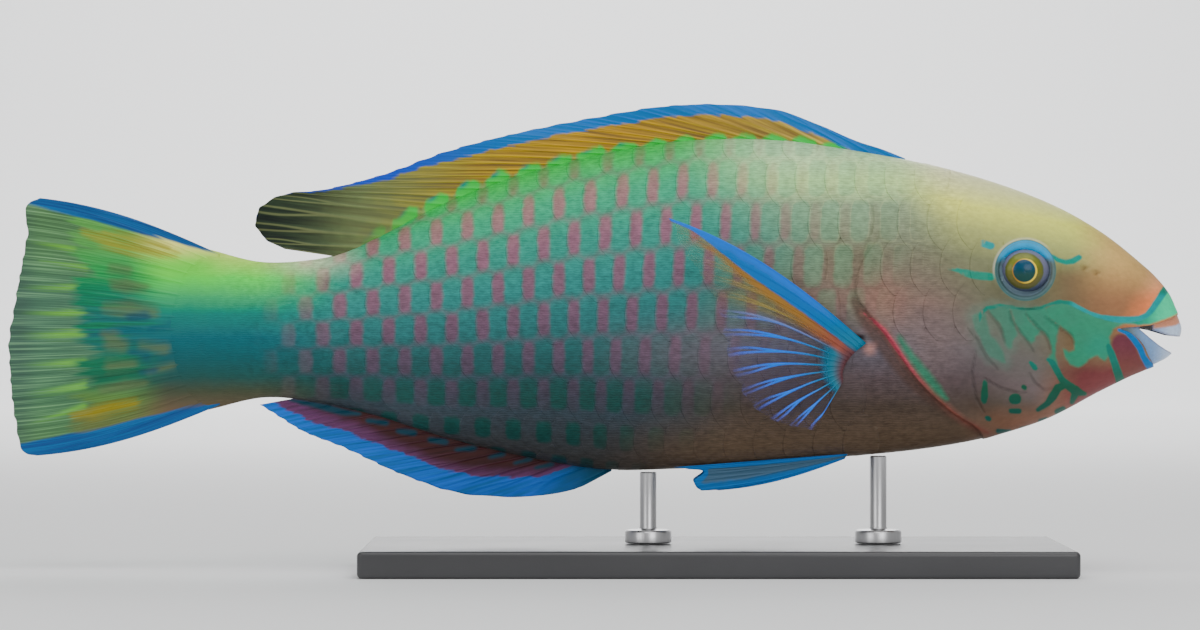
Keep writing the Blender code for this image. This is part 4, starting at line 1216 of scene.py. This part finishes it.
def wet_eye():
    f = Finish("wet_eye")
    across, down = f.read("across") - PUPIL_ACROSS, f.read("down") - PUPIL_DOWN
    fleck = f.noise(900.0, 3.0)
    round_off = (across * across + down * down).math("SQRT")
    wide_off = ((across * across) * (1 / IRIS_WIDE ** 2)
                + (down * down) * (1 / IRIS_TALL ** 2)).math("SQRT")
    pupil = f.mix((down + fleck * 6.0).ramp(-5.0, 5.0), (0, 0.056, 0.114), (0, 0.053, 0.045))
    iris = f.mix(down.ramp(-16.0, 14.0), (0.199, 0.223, 0.019), (0.108, 0.093, 0.016))
    iris = f.mix((fleck * 1.8 + 0.4).high(0.0).low(1.0) * 0.45, iris, (0.067, 0.07, 0.011))
    iris = f.mix(wide_off.ramp(0.82, 1.0) * 0.6, iris, (0.056, 0.081, 0.021))
    white = f.mix(down.ramp(-18.0, 22.0), (0.167, 0.171, 0.267), (0.049, 0.066, 0.122))
    white = f.mix((fleck * 1.6).high(0.0).low(1.0) * 0.5, white, (0.121, 0.129, 0.098))
    colour = f.mix((wide_off + fleck * 0.1).ramp(0.97, 1.05), iris, white)
    # The gold ring keeps its own colour, with a painted highlight that makes it brighter and wider
    # towards the right.
    gold_wide = GOLD + (across + down * 0.4).ramp(-10.0, 14.0) * 0.9 - 0.7
    gold = f.mix(across.ramp(-10.0, 8.0), (0.461, 0.203, 0.006), (0.9, 0.652, 0.035))
    colour = f.mix((round_off - gold_wide + fleck * 0.6).ramp(0.7, -0.5), colour, gold)
    colour = f.mix(round_off.ramp(PUPIL + 0.5, PUPIL - 0.6), colour, pupil)
    return f.set(Base_Color=colour, Roughness=0.3, Specular_IOR_Level=0.25, Coat_Weight=0.12,
                 Coat_Roughness=0.06)


eye_finish = wet_eye()
for side_name, side in (("right", -1.0), ("left", 1.0)):
    ball = eyeball("eyeball_" + side_name, side)
    ball.data.materials.append(eye_finish)
    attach(ball, "root")
    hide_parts("eye_" + side_name)


# Dorsal fin: a long low web of skin along the back, held up by spines and branched rays that
# stand out as fine ridges. It grows out of the back, so its foot is sunk in the flesh.
GAP, FOOT_SUNK = 0.3, 2.2
WEB, RAY_TIP = 0.34, 0.62
DORSAL_BASE = (82.0, 250.6)
DORSAL_MARGIN = [(83.0, 50.0), (90.5, 53.0), (96.5, 54.9), (108.5, 60.0), (120.4, 64.4),
                 (132.4, 66.0), (156.4, 65.6), (174.4, 62.7), (198.4, 57.9), (222.4, 51.6),
                 (240.4, 45.0), (258.4, 40.5), (271, 38.8), (276.4, 35.6), (278.2, 30.9),
                 (275.0, 25.8), (269.0, 22.8)]


def fin_mesh(name, root, tip, rays, per_ray, rows, thick, arch, notch, forks, sunk, wave=0.0,
             strand=0.115, fan=(0.20, 0.09), marks=None):
    """A fin as one closed mesh; root and tip take shares u and give distance, side and height.

    thick is the ray's and the web's thickness at the root; forks are the shares of the way out at
    which a ray splits in two and in four; fan is how far apart the branches then stand, as shares
    of the space between rays; sunk is how far the root goes into the body, and marks are lines in
    pixels of the photograph, by name.
    """
    u = np.linspace(0, 1, (rays - 1) * per_ray + 1)
    v = np.linspace(0, 1, rows + 1) ** 0.92
    start, end = np.array(root(u)), np.array(tip(u))
    phase = u * (rays - 1)
    wander = 0.05 * np.sin(phase * 2.1)[:, None] * np.sin(v * 9.0)[None, :]
    d = (phase - np.round(phase))[:, None] + wander
    vv = np.broadcast_to(v[None, :], d.shape)
    first = fan[0] * ramp(vv, forks[0], forks[0] + 0.45)
    second = fan[1] * ramp(vv, forks[1], forks[1] + 0.4)
    thin = strand * (1 - 0.5 * vv)
    ridge = np.zeros(d.shape)
    for a in (-1, 1):
        for b in (-1, 1):
            ridge = np.maximum(ridge, np.exp(-((d - a * first - b * second) / thin) ** 2))
    strength = np.clip(1.25 - vv * 0.55, 0.45, 1)
    at_ray = np.exp(-((phase - np.round(phase)) / 0.2) ** 2)[:, None]
    ragged = 1 + 0.35 * np.sin(phase * 5.3)[:, None]
    reach = vv * (1 - notch * vv ** 3 * (1 - at_ray) * ragged)
    line = start[:, :, None] + (end - start)[:, :, None] * reach[None]
    inwards = (start - end) / np.maximum(np.linalg.norm(end - start, axis=0), 1e-6)
    line = line + (inwards * sunk)[:, :, None] * ((1 - vv) ** 6)[None]
    bend = arch(u) if callable(arch) else np.full(u.shape, arch)
    line[2] += bend[:, None] * 4 * vv * (1 - vv)
    ray_thick, web_thick = thick
    web = WEB + (web_thick - WEB) * np.clip(1 - vv * 1.6, 0, 1)
    tall = RAY_TIP + (ray_thick - RAY_TIP) * np.clip(1 - vv, 0, 1) ** 1.3
    joints = 0.04 * ridge * np.sin(vv * rows * 2.2) * ramp(vv, 0.2, 0.4)
    half = (web + (tall - web) * ridge * strength + joints) / 2
    sway = wave * np.sin(phase * 0.9)[:, None] * vv ** 2
    points = np.concatenate([
        np.stack([(TOTAL_LENGTH / 2 - line[0]) * MM, (line[1] + sway + facing * half) * MM,
                  (AXIS_HEIGHT + line[2]) * MM], -1).reshape(-1, 3) for facing in (-1, 1)])
    n, m = d.shape
    web_faces, web_rim = grid_faces(n, m)
    edge = np.stack([web_rim, np.roll(web_rim, -1), np.roll(web_rim, -1) + n * m,
                     web_rim + n * m], -1)
    faces = np.concatenate([web_faces, (web_faces + n * m)[:, ::-1], edge])
    mesh = closed_mesh(name, points.tolist(), faces.tolist())
    px, py = write_places(mesh, points)
    outer = line[[0, 2], :, -1].T[::max(1, per_ray // 3)]
    front = line[[0, 2], 0, :].T[::4]
    rim_off, lead_off = (distance_to_line(line[0].ravel(), line[2].ravel(),
                                          [(a, b, 0) for a, b in margin])
                         for margin in (outer, front))
    for key, values in (("along", np.repeat(u, m)), ("outward", vv.ravel()), ("ray", ridge.ravel()),
                        ("rim", rim_off), ("lead", lead_off)):
        write_attribute(mesh, key, np.tile(values, 2))
    write_attribute(mesh, "column", column_at(px, 0.0))
    for key, drawings in (marks or {}).items():
        write_attribute(mesh, key, nearest(distance_to_line, px, py, drawings))
    return make_object(name, mesh)


def add_fin(piece, node, finish):
    piece.data.materials.append(finish)
    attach(piece, "root")
    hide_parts(node)


def between(ends, u):
    return ends[0] + (ends[1] - ends[0]) * u


def in_plane(margin, crowd):
    """The tips of a fin in the fish's middle plane; crowd sets where its rays stand closer."""
    def tip(u):
        distance, height = margin(u ** crowd)
        return distance, np.zeros_like(u), height
    return tip


def fin_finish(name, *marks):
    """A finish for a fin, its clouding, and what is written on its points under those names."""
    f = Finish(name)
    return (f, f.noise(220.0, 3.0), *map(f.read, marks))


def strands(f, count, detail=2.0, run=1.5):
    """Streaks that run out along the rays, count of them side by side."""
    spot = f.node("ShaderNodeCombineXYZ", {}, {"X": f.read("along") * count,
                                               "Y": f.read("outward") * run})
    return f.node("ShaderNodeTexNoise", {}, {"Vector": spot, "Scale": 1.0, "Detail": detail}) - 0.5


def fin_surface(f, colour, cloud):
    f.bump(cloud, 0.0001)
    return f.set(Base_Color=colour, Roughness=0.5 + cloud * 0.1, Specular_IOR_Level=0.25)


def dorsal_root(u):
    distance = between(DORSAL_BASE, u)
    return distance, np.zeros_like(u), back(distance) - FOOT_SUNK


def dorsal_finish():
    """Gold rays in a dull web that darkens to the rear, green leaves at the foot, a blue edge."""
    f, cloud, across, outward, ray, rim = fin_finish("dorsal_web", "across", "outward", "ray", "rim")
    streak = strands(f, 75.0)
    gold = f.colours((across - 260.0 + cloud * 40.0) * (1 / 600.0), [
        (0.0, (0.013, 0.032, 0.012)), (0.1, (0.056, 0.088, 0.035)), (0.17, (0.151, 0.209, 0.071)),
        (0.32, (0.395, 0.315, 0.02)), (0.42, (0.604, 0.363, 0)), (0.6, (0.583, 0.313, 0)),
        (0.8, (0.508, 0.32, 0.026)), (1.0, (0.65, 0.491, 0.09))])
    dull = f.mix(across.ramp(480.0, 400.0), (0.174, 0.101, 0.019), (0.106, 0.124, 0.045))
    dull = f.mix(across.ramp(370.0, 290.0), dull, (0, 0.004, 0.002))
    colour = f.mix((ray * 0.4 + streak * 2.6 + 0.42).low(1.0).high(0.0), dull, gold)
    tips = ray.ramp(0.4, 1.0) * across.ramp(400.0, 300.0)
    colour = f.mix(tips * 0.4, colour, (0.266, 0.288, 0.106))
    off = f.read("column") - f.read("column").math("ROUND")
    climb = outward * (across.ramp(490.0, 370.0) * 0.9 + 1.0)
    foot = climb + off * off * 0.7 + cloud * 0.30
    foot_colour = f.mix((abs(off) + cloud * 0.2).ramp(0.32, 0.44) * 0.7, (0, 0.584, 0.05),
                        (0.266, 0.214, 0.101))
    crown = (off + 0.14).band(0.0, 0.28) * climb.band(0.32, 0.14) * across.ramp(720.0, 560.0)
    crown_colour = f.mix(across.ramp(420.0, 390.0), (0, 0.232, 0.189), (0.02, 0.089, 0.117))
    foot_colour = f.mix(crown, foot_colour, crown_colour)
    colour = f.mix(foot.ramp(0.40, 0.27) * across.ramp(345.0, 430.0), colour, foot_colour)
    blue = f.mix((ray * 0.2 + streak * 2.0).high(0.0), (0, 0.145, 0.456), (0, 0.188, 0.787))
    blue = f.mix(across.ramp(520.0, 380.0), blue, (0, 0.053, 0.527))
    band = f.straight(across, (285.0, 470.0), (-0.6, 3.1))
    colour = f.mix((rim + cloud * 2.0 + streak * 2.0 - band).ramp(0.6, -0.2), colour, blue)
    return fin_surface(f, colour, cloud)


dorsal = fin_mesh("dorsal_web", dorsal_root, in_plane(smooth_path(DORSAL_MARGIN), 0.67), rays=27,
                  per_ray=14, rows=34, thick=(2.0, 1.3), arch=0.0, notch=0.014, forks=(0.45, 1.2),
                  sunk=0.0, wave=0.5, strand=0.17)
add_fin(dorsal, "dorsal_fin", dorsal_finish())

# Anal fin: a low web along the rear of the belly, maroon with a broad blue edge. Its rays are
# short and close, and its foot is sunk in the flesh.
ANAL_BASE = (170.5, 261.0)
ANAL_MARGIN = [(171.0, -43.8), (176.0, -46.5), (180.4, -48.7), (187, -50.5), (195, -51.5),
               (204.4, -51.6), (216.4, -50.6), (234.4, -44.7), (252, -36.6), (264.4, -31.5),
               (271.0, -27.4), (276.6, -23.9)]
ANAL_SPOTS = [
    [(290, 400, 1.0), (312, 404, 3.2), (345, 412.5, 3.8), (360, 414, 1.6)],
    [(368, 420.5, 2.4), (386, 423, 3.2)], [(398, 431, 2.4), (414, 433, 3.2)],
    [(430, 440, 2.4), (445, 442, 3.2)], [(457, 450, 2.2), (474, 448, 3.2)],
    [(490, 457, 2.2), (503, 454, 2.8)], [(515, 463, 1.8), (530, 459, 2.6)],
    [(536, 468, 1.8), (552, 464, 2.6)],
]


def anal_root(u):
    distance = between(ANAL_BASE, u)
    return distance, np.zeros_like(u), belly(distance) + FOOT_SUNK


def anal_finish():
    """Maroon, with a blue edge that narrows to the rear and dark teal spots along the foot."""
    f, cloud, across, ray, rim = fin_finish("anal_web", "across", "ray", "rim")
    maroon = f.mix((rim + cloud * 2.0).ramp(10.0, 5.6), (0.046, 0.01, 0.01), (0.114, 0.031, 0.108))
    maroon = f.mix(ray * 0.2, maroon, (0.131, 0.063, 0.099))
    streak = strands(f, 50.0)
    blue = f.mix((streak * 3.0 + 0.5).low(1.0).high(0.0), (0, 0.114, 0.365), (0, 0.145, 0.711))
    blue = f.mix(across.ramp(530.0, 600.0), blue, (0, 0.069, 0.143))
    band = f.straight(across, (265.0, 400.0), (2.6, 5.8))
    maroon = f.scaled(maroon, streak * 1.5 + 1.0)
    colour = f.mix((rim + cloud * 2.4 + streak * 2.0 - band).ramp(0.5, -0.3), maroon, blue)
    colour = f.mix((f.read("spots") + cloud * 3.0).ramp(2.0, -2.0), colour, (0, 0.04, 0.069))
    return fin_surface(f, colour, cloud)


anal = fin_mesh("anal_web", anal_root, in_plane(smooth_path(ANAL_MARGIN), 0.45), rays=17,
                per_ray=16, rows=32, thick=(1.9, 1.2), arch=0.0, notch=0.012, forks=(0.35, 0.7),
                sunk=0.0, wave=0.4, strand=0.10, marks={"spots": ANAL_SPOTS})
add_fin(anal, "anal_fin", anal_finish())

# Caudal fin: the tail fin, a stiff blunt fan of branched rays rooted in the end of the tail stem.
# Its inner part is teal and its outer part grey green, with spots and streaks along the rays.
CAUDAL_ROOT, CAUDAL_ARCH = (22.4, -25.0), 2.6
CAUDAL_MARGIN = [(342.4, 38.1), (345.6, 37.0), (347.2, 33.6), (346.4, 29.4), (347.2, 22.8),
                 (350.2, 6.0), (352.1, -6.0), (351.7, -12.0), (350.8, -22.5), (349.4, -32.0),
                 (348.6, -36.4), (346.6, -38.8), (343.4, -39.2)]
OLIVE_SPOTS = [
    [(112, 268, 4), (128, 270, 5)], [(115, 286, 5), (126, 286, 7), (145, 288, 3)],
    [(106, 307, 5), (130, 308, 8), (153, 312, 5)], [(104, 334, 4), (112, 340, 9), (122, 345, 6)],
    [(142, 346, 3), (164, 349, 5)], [(110, 366, 5), (133, 364, 4)],
    [(102, 391, 3), (126, 386, 6), (143, 384, 3)], [(150, 372, 3), (172, 366, 4)]]
NAVY_SPOTS = [[(131, 318, 4), (144, 317, 6)], [(132, 353, 3), (146, 356, 5)],
              [(142, 372, 2), (154, 371, 4)], [(150, 328, 1), (175, 322, 3)]]
LIME_STREAKS = [
    [(12, 288.5, 0.0), (50, 288, 1.5), (86, 287, 3.5)],
    [(10, 313.5, 0.0), (50, 313.5, 2), (84, 312, 4)],
    [(8, 337, 0.5), (50, 335.5, 3), (84, 333, 4.5)], [(12, 366, 0), (50, 364.5, 2), (84, 362, 4)],
    [(16, 395, 0), (50, 391, 2), (84, 386, 4)], [(40, 262, 0), (86, 267, 2.5)],
    [(24, 426, 0), (60, 414, 2), (84, 406, 3)], [(30, 240, 0), (74, 249, 2.5)]]
GOLD_STREAKS = [
    [(84, 233, 1), (104, 240, 4), (130, 247, 5), (160, 253, 4), (176, 255, 1)],
    [(104, 231, 1), (140, 242, 3), (168, 249, 1)],
    [(74, 417, 1), (92, 414.5, 3.5), (112, 408, 3), (134, 404, 2)]]
CAUDAL_MARKS = {"olive": OLIVE_SPOTS, "navy": NAVY_SPOTS, "lime": LIME_STREAKS,
                "gold": GOLD_STREAKS}


def caudal_root(u):
    return np.full_like(u, STEM_END + GAP), np.zeros_like(u), between(CAUDAL_ROOT, u)


CAUDAL_EDGE_ACROSS = (40.0, 222.0)
CAUDAL_TOP_EDGE, CAUDAL_LOW_EDGE = (208.0, 254.0), (440.0, 400.0)


def caudal_finish():
    """Teal fading to streaked grey green, with spots and streaks, and blue upper and lower edges."""
    f, cloud, across, down, ray = fin_finish("caudal_web", "across", "down", "ray")
    fine, fingers = strands(f, 170.0, 1.0), strands(f, 26.0, 3.0, 2.5)
    teal_stops = [
        (0.0, (0.095, 0.357, 0.065)), (0.16, (0.008, 0.338, 0.069)), (0.3, (0, 0.184, 0.093)),
        (0.5, (0, 0.115, 0.145)), (0.66, (0, 0.154, 0.074)), (0.78, (0, 0.126, 0.06)),
        (0.88, (0.098, 0.22, 0.045)), (1.0, (0.124, 0.166, 0.044))]
    teal = f.mix(across.ramp(172.0, 122.0), tail_colours(f, across, down + fingers * 8.0),
                 f.colours((down - 240.0 + fingers * 16.0) * (1 / 180.0), teal_stops))
    greener = fingers.ramp(0.0, 0.2) * across.ramp(172.0, 140.0) * down.band(325.0, 80.0)
    teal = f.mix(greener * 0.8, teal, (0, 0.202, 0.069))
    outer = f.colours((down - 205.0) * (1 / 245.0), [
        (0.0, (0.065, 0.165, 0.06)), (0.2, (0.067, 0.185, 0.07)), (0.36, (0.058, 0.162, 0.094)),
        (0.55, (0.064, 0.175, 0.102)), (0.78, (0.054, 0.164, 0.078)), (1.0, (0.074, 0.193, 0.066))])
    outer = f.mix(across.ramp(44.0, 18.0) * 0.5, outer, (0.036, 0.068, 0.068))
    edge = across + fingers * 90.0 + abs(down - 332.0) * 0.12
    zone = edge.ramp(98.0, 78.0)
    colour = f.mix(zone, teal, outer)
    lime = (f.read("lime") + fine * 16.0).ramp(3.0, -4.5) * zone * across.ramp(10.0, 70.0)
    colour = f.mix(lime * 0.8, colour, (0.179, 0.596, 0.035))
    olive = (f.read("olive") + fingers * 18.0).ramp(5.5, -6.0)
    colour = f.mix(olive * 0.7, colour, (0.104, 0.152, 0.057))
    navy = (f.read("navy") + fingers * 18.0).ramp(5.0, -6.0)
    colour = f.mix(navy * 0.75, colour, (0, 0.069, 0.123))
    gold = (f.read("gold") + (fine + fingers) * 16.0).ramp(6.0, -5.0)
    gold_colour = f.mix(down.ramp(300.0, 380.0), (0.335, 0.313, 0.015), (0.317, 0.246, 0.003))
    colour = f.mix(gold * 0.85, colour, gold_colour)
    colour = f.mix((fine * 4.0 + ray * 0.15).high(0.0) * 0.2 * zone, colour, (0.38, 0.78, 0.322))
    colour = f.scaled(colour, fine * across.ramp(190.0, 130.0) * 1.2 + 1.0)
    top_edge = f.straight(across, CAUDAL_EDGE_ACROSS, CAUDAL_TOP_EDGE, clamp=False)
    low_edge = f.straight(across, CAUDAL_EDGE_ACROSS, CAUDAL_LOW_EDGE, clamp=False)
    blue = f.mix((fine * 4.0 + 0.4).high(0.0).low(1.0), (0, 0.065, 0.248), (0, 0.126, 0.365))
    top_mask = (down - top_edge + fingers * 10.0).ramp(1.5, -2.0)
    low_mask = (low_edge - down + fingers * 10.0).ramp(1.5, -2.0)
    colour = f.mix(top_mask.high(low_mask), colour, blue)
    return fin_surface(f, colour, cloud)


caudal = fin_mesh("caudal_web", caudal_root, in_plane(smooth_path(CAUDAL_MARGIN), 1.0), rays=17,
                  per_ray=20, rows=80, thick=(2.6, 2.0), arch=lambda u: CAUDAL_ARCH * (1 - 2 * u),
                  notch=0.006, forks=(0.16, 0.42), sunk=4.0, wave=0.6, strand=0.07,
                  fan=(0.25, 0.125), marks=CAUDAL_MARKS)
add_fin(caudal, "caudal_fin", caudal_finish())

# Paired fins: a pectoral fin that stands off behind each gill cover, clear between its rays, and
# a narrow pelvic fin under each side of the belly. Both are webs on rays, rooted in the flesh.
PECTORAL_ROOT = [(98.4, -3.8), (102.3, -7.3), (104.9, -11.4), (105.4, -15.6), (104.2, -19.1)]
PECTORAL_TIPS = [(154.5, 31.1), (151.6, 24.0), (147.2, 17.2), (142.2, 9.8), (139.2, 1.5),
                 (137.6, -7.2), (135.0, -14.8), (131.2, -22.2), (123.6, -28.0), (111.8, -31.0)]
PECTORAL_SPREAD, PECTORAL_ARCH, PECTORAL_OFF = (21.0, 6.0), 4.4, 0.9
PELVIC_ROOT = [(102.6, -38.6), (103.4, -40.4)]
PELVIC_TIPS = [(152.6, -42.4), (148.0, -43.0), (143.6, -43.9), (146.4, -46.4), (146.0, -48.4),
               (139.0, -49.4)]
PELVIC_SAG, PELVIC_LEAN, PELVIC_OFF = 1.6, (0.7, -2.0), 0.85
pectoral_root, pectoral_tips = smooth_path(PECTORAL_ROOT), smooth_path(PECTORAL_TIPS)
pelvic_root, pelvic_tips = smooth_path(PELVIC_ROOT), smooth_path(PELVIC_TIPS)


def pectoral_finish():
    """Blue rays in front and olive ones behind, in a web that fades to clear between them."""
    f, cloud, along, outward, ray, lead = fin_finish("pectoral_web", "along", "outward", "ray", "lead")
    fine = strands(f, 60.0, 1.0)
    blue_ray = f.mix(outward.ramp(0.05, 0.5), (0.008, 0.201, 0.294), (0, 0.184, 0.9))
    blue_ray = f.mix(outward.ramp(0.6, 1.0), blue_ray, (0.082, 0.159, 0.9))
    olive_ray = f.mix(outward.ramp(0.1, 0.5), (0.45, 0.106, 0.059), (0.323, 0.249, 0.059))
    olive_part = (along + cloud * 0.02).ramp(0.42, 0.33)
    colour = f.mix(olive_part, blue_ray, olive_ray)
    lead_wide = f.node("ShaderNodeMapRange", {"interpolation_type": "SMOOTHSTEP"},
                       {"Value": outward, "From Min": 0.55, "From Max": 1.0,
                        "To Min": 5.4, "To Max": 0.7})
    lead_wide = lead_wide * (outward.ramp(0.0, 0.4) * 0.2 + 0.8)
    lead_mask = (lead + cloud * 0.8 - lead_wide).ramp(0.3, -0.3)
    orange = (lead + fine * 2.0 + cloud - lead_wide).band(1.0, 3.0)
    orange_colour = f.mix(outward.ramp(0.05, 0.35), (0.344, 0.086, 0.057), (0.351, 0.168, 0.025))
    colour = f.mix(orange, colour, orange_colour)
    lead_blue = f.mix((lead + cloud * 2.0).ramp(0.8, 3.0), (0, 0.164, 0.797), (0, 0.146, 0.501))
    lead_blue = f.mix(outward.ramp(0.3, 0.0), lead_blue, (0, 0.187, 0.32))
    colour = f.mix(lead_mask, colour, lead_blue)
    colour = f.mix(outward.ramp(0.10, 0.0) * along.ramp(0.16, 0.3), colour, (0.132, 0.043, 0.052))
    fade = (outward + fine * 0.3).ramp(0.98, 0.55)
    blue_solid = ray.ramp(0.3, 0.85) * 0.9 * (fade * 0.95 + 0.05)
    olive_solid = (ray * 0.5 + fine * 0.7 + 0.16).high(0.0) * (fade * 0.95 + 0.04)
    solid = f.mix(olive_part, blue_solid + 0.01, olive_solid + 0.02)
    solid = solid.high(lead_mask * 0.96).high(orange * (fade * 0.8 + 0.1))
    solid = solid.high(outward.ramp(0.2, 0.06))
    return f.set(Base_Color=colour, Roughness=0.45, Alpha=solid.low(1.0), Specular_IOR_Level=0.25)


def pelvic_finish():
    """Bright blue, painted brighter than its own colour to offset the shade under the belly, greyer in
    the middle.
    """
    f, cloud, along, ray, rim = fin_finish("pelvic_web", "along", "ray", "rim")
    middle = (along + cloud * 0.1).band(0.46, 0.3) * rim.ramp(0.8, 2.4)
    # Painted light: both blues are brighter than the fin's own colour, to offset the shade under the
    # belly.
    blue = f.mix(ray * 0.4, (0, 0.145, 0.456), (0, 0.254, 0.83))
    colour = f.mix(middle.ramp(0.1, 0.5) * 0.8, blue, f.mix(ray * 0.5, (0.049, 0.106, 0.126),
                                                           (0.115, 0.195, 0.211)))
    return f.set(Base_Color=colour, Roughness=0.5, Specular_IOR_Level=0.25)


def pectoral_web(name, side):
    def start(u):
        distance, height = pectoral_root(u)
        out = np.array([body_side(a, b) for a, b in zip(distance, height)])
        return distance, side * (out + GAP + PECTORAL_OFF), height

    def end(u):
        distance, height = pectoral_tips(u)
        return distance, side * (np.abs(start(u)[1]) + between(PECTORAL_SPREAD, u)), height

    return fin_mesh(name, start, end, rays=14, per_ray=20, rows=60, thick=(1.5, 1.0),
                    arch=lambda u: PECTORAL_ARCH * (1 - u), notch=0.02, forks=(0.4, 0.75), sunk=3.0,
                    strand=0.13, fan=(0.13, 0.05))


def pelvic_web(name, side):
    def start(u):
        distance, height = pelvic_root(u)
        out = np.array([body_side(a, PELVIC_ROOT[0][1]) for a in distance])
        return distance, side * (out + GAP + PELVIC_OFF), height

    def end(u):
        distance, height = pelvic_tips(u)
        return distance, side * (np.abs(start(0 * u)[1]) + between(PELVIC_LEAN, u)), height

    return fin_mesh(name, start, end, rays=6, per_ray=16, rows=44, thick=(1.4, 1.0),
                    arch=lambda u: -PELVIC_SAG * u, notch=0.01, forks=(0.3, 0.6), sunk=2.0)


pectoral_skin, pelvic_skin = pectoral_finish(), pelvic_finish()
for side_name, side in (("right", -1.0), ("left", 1.0)):
    pectoral = pectoral_web("pectoral_web_" + side_name, side)
    add_fin(pectoral, "pectoral_fin_" + side_name, pectoral_skin)
    pelvic = pelvic_web("pelvic_web_" + side_name, side)
    add_fin(pelvic, "pelvic_fin_" + side_name, pelvic_skin)

# Stand: a plain museum stand of a satin black lacquered board with eased edges, and two brushed
# steel rods on round feet. The rods stand on the board and hold the fish under its belly.
BASE_SIZE, BASE_CORNER, BASE_MIDDLE = (210.0, 92.0, 8.0), 1.5, 140.0
ROD_RADIUS, ROD_EDGE, ROD_FILLET = 2.5, 0.3, 0.8
ROD_FOOT_RADIUS, ROD_FOOT_HEIGHT, ROD_SECTORS = 7.0, 4.0, 64
ROD_PLACES = {"front": 91.0, "rear": 160.0}


def base_board():
    """A flat board with all its edges eased."""
    mesh = bpy.data.meshes.new("stand_base")
    shaper = bmesh.new()
    bmesh.ops.create_cube(shaper, size=1)
    length, depth, height = BASE_SIZE
    for vert in shaper.verts:
        vert.co = ((TOTAL_LENGTH / 2 - BASE_MIDDLE + vert.co.x * length) * MM,
                   vert.co.y * depth * MM, (vert.co.z + 0.5) * height * MM)
    bmesh.ops.bevel(shaper, geom=shaper.edges[:], offset=BASE_CORNER * MM, segments=8, profile=0.5,
                    affect="EDGES")
    shaper.to_mesh(mesh)
    shaper.free()
    mesh.shade_smooth()
    mesh.set_sharp_from_angle(angle=math.radians(30))
    return make_object("stand_base_board", mesh)


def black_lacquer():
    f = Finish("black_lacquer")
    cloud = f.noise(30.0, 4.0)
    speck = f.noise(2400.0, 2.0)
    tone = f.mix(cloud + 0.5, (0.03, 0.03, 0.033), (0.045, 0.045, 0.048))
    f.bump(speck, 0.00003)
    return f.set(Base_Color=tone, Roughness=0.42 + cloud * 0.15, Coat_Weight=0.3, Coat_Roughness=0.2)


def turned_rod(name, distance):
    """A rod with its foot in one, turned about its axis, that ends just under the belly."""
    foot, top = BASE_SIZE[2] + GAP, AXIS_HEIGHT + float(belly(distance)) - GAP
    high, rod, wide = foot + ROD_FOOT_HEIGHT, ROD_RADIUS, ROD_FOOT_RADIUS
    turned = [(0.0, top), (rod - ROD_EDGE, top), (rod, top - ROD_EDGE), (rod, high + ROD_FILLET),
              (rod + 0.25, high + 0.25), (rod + ROD_FILLET, high), (wide - 1, high),
              (wide - 0.4, high - 0.2), (wide, high - 0.8), (wide, foot + ROD_EDGE),
              (wide - ROD_EDGE, foot), (0.0, foot)]
    centre = (TOTAL_LENGTH / 2 - distance) * MM
    points = []
    for out, height in turned:
        for k in range(ROD_SECTORS):
            a = 2 * math.pi * k / ROD_SECTORS
            points.append((centre + out * MM * math.cos(a), out * MM * math.sin(a), height * MM))
    mesh = closed_mesh("rod_" + name, points, ring_faces(len(turned), ROD_SECTORS), weld=1e-7)
    mesh.set_sharp_from_angle(angle=math.radians(40))
    return make_object("stand_rod_%s_turned" % name, mesh)


def brushed_steel():
    f = Finish("brushed_steel")
    brush = f.noise(900.0, 2.0, (1.0, 1.0, 0.02))
    tone = f.mix(brush + 0.5, (0.5, 0.5, 0.51), (0.62, 0.62, 0.63))
    f.bump(brush, 0.00004)
    return f.set(Base_Color=tone, Roughness=0.32 + brush * 0.2, Metallic=1.0)


base_piece = base_board()
base_piece.data.materials.append(black_lacquer())
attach(base_piece, "root")
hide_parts("stand_base")
steel_finish = brushed_steel()
for name, distance in ROD_PLACES.items():
    rod = turned_rod(name, distance)
    rod.data.materials.append(steel_finish)
    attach(rod, "root")
    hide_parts("stand_rod_" + name)
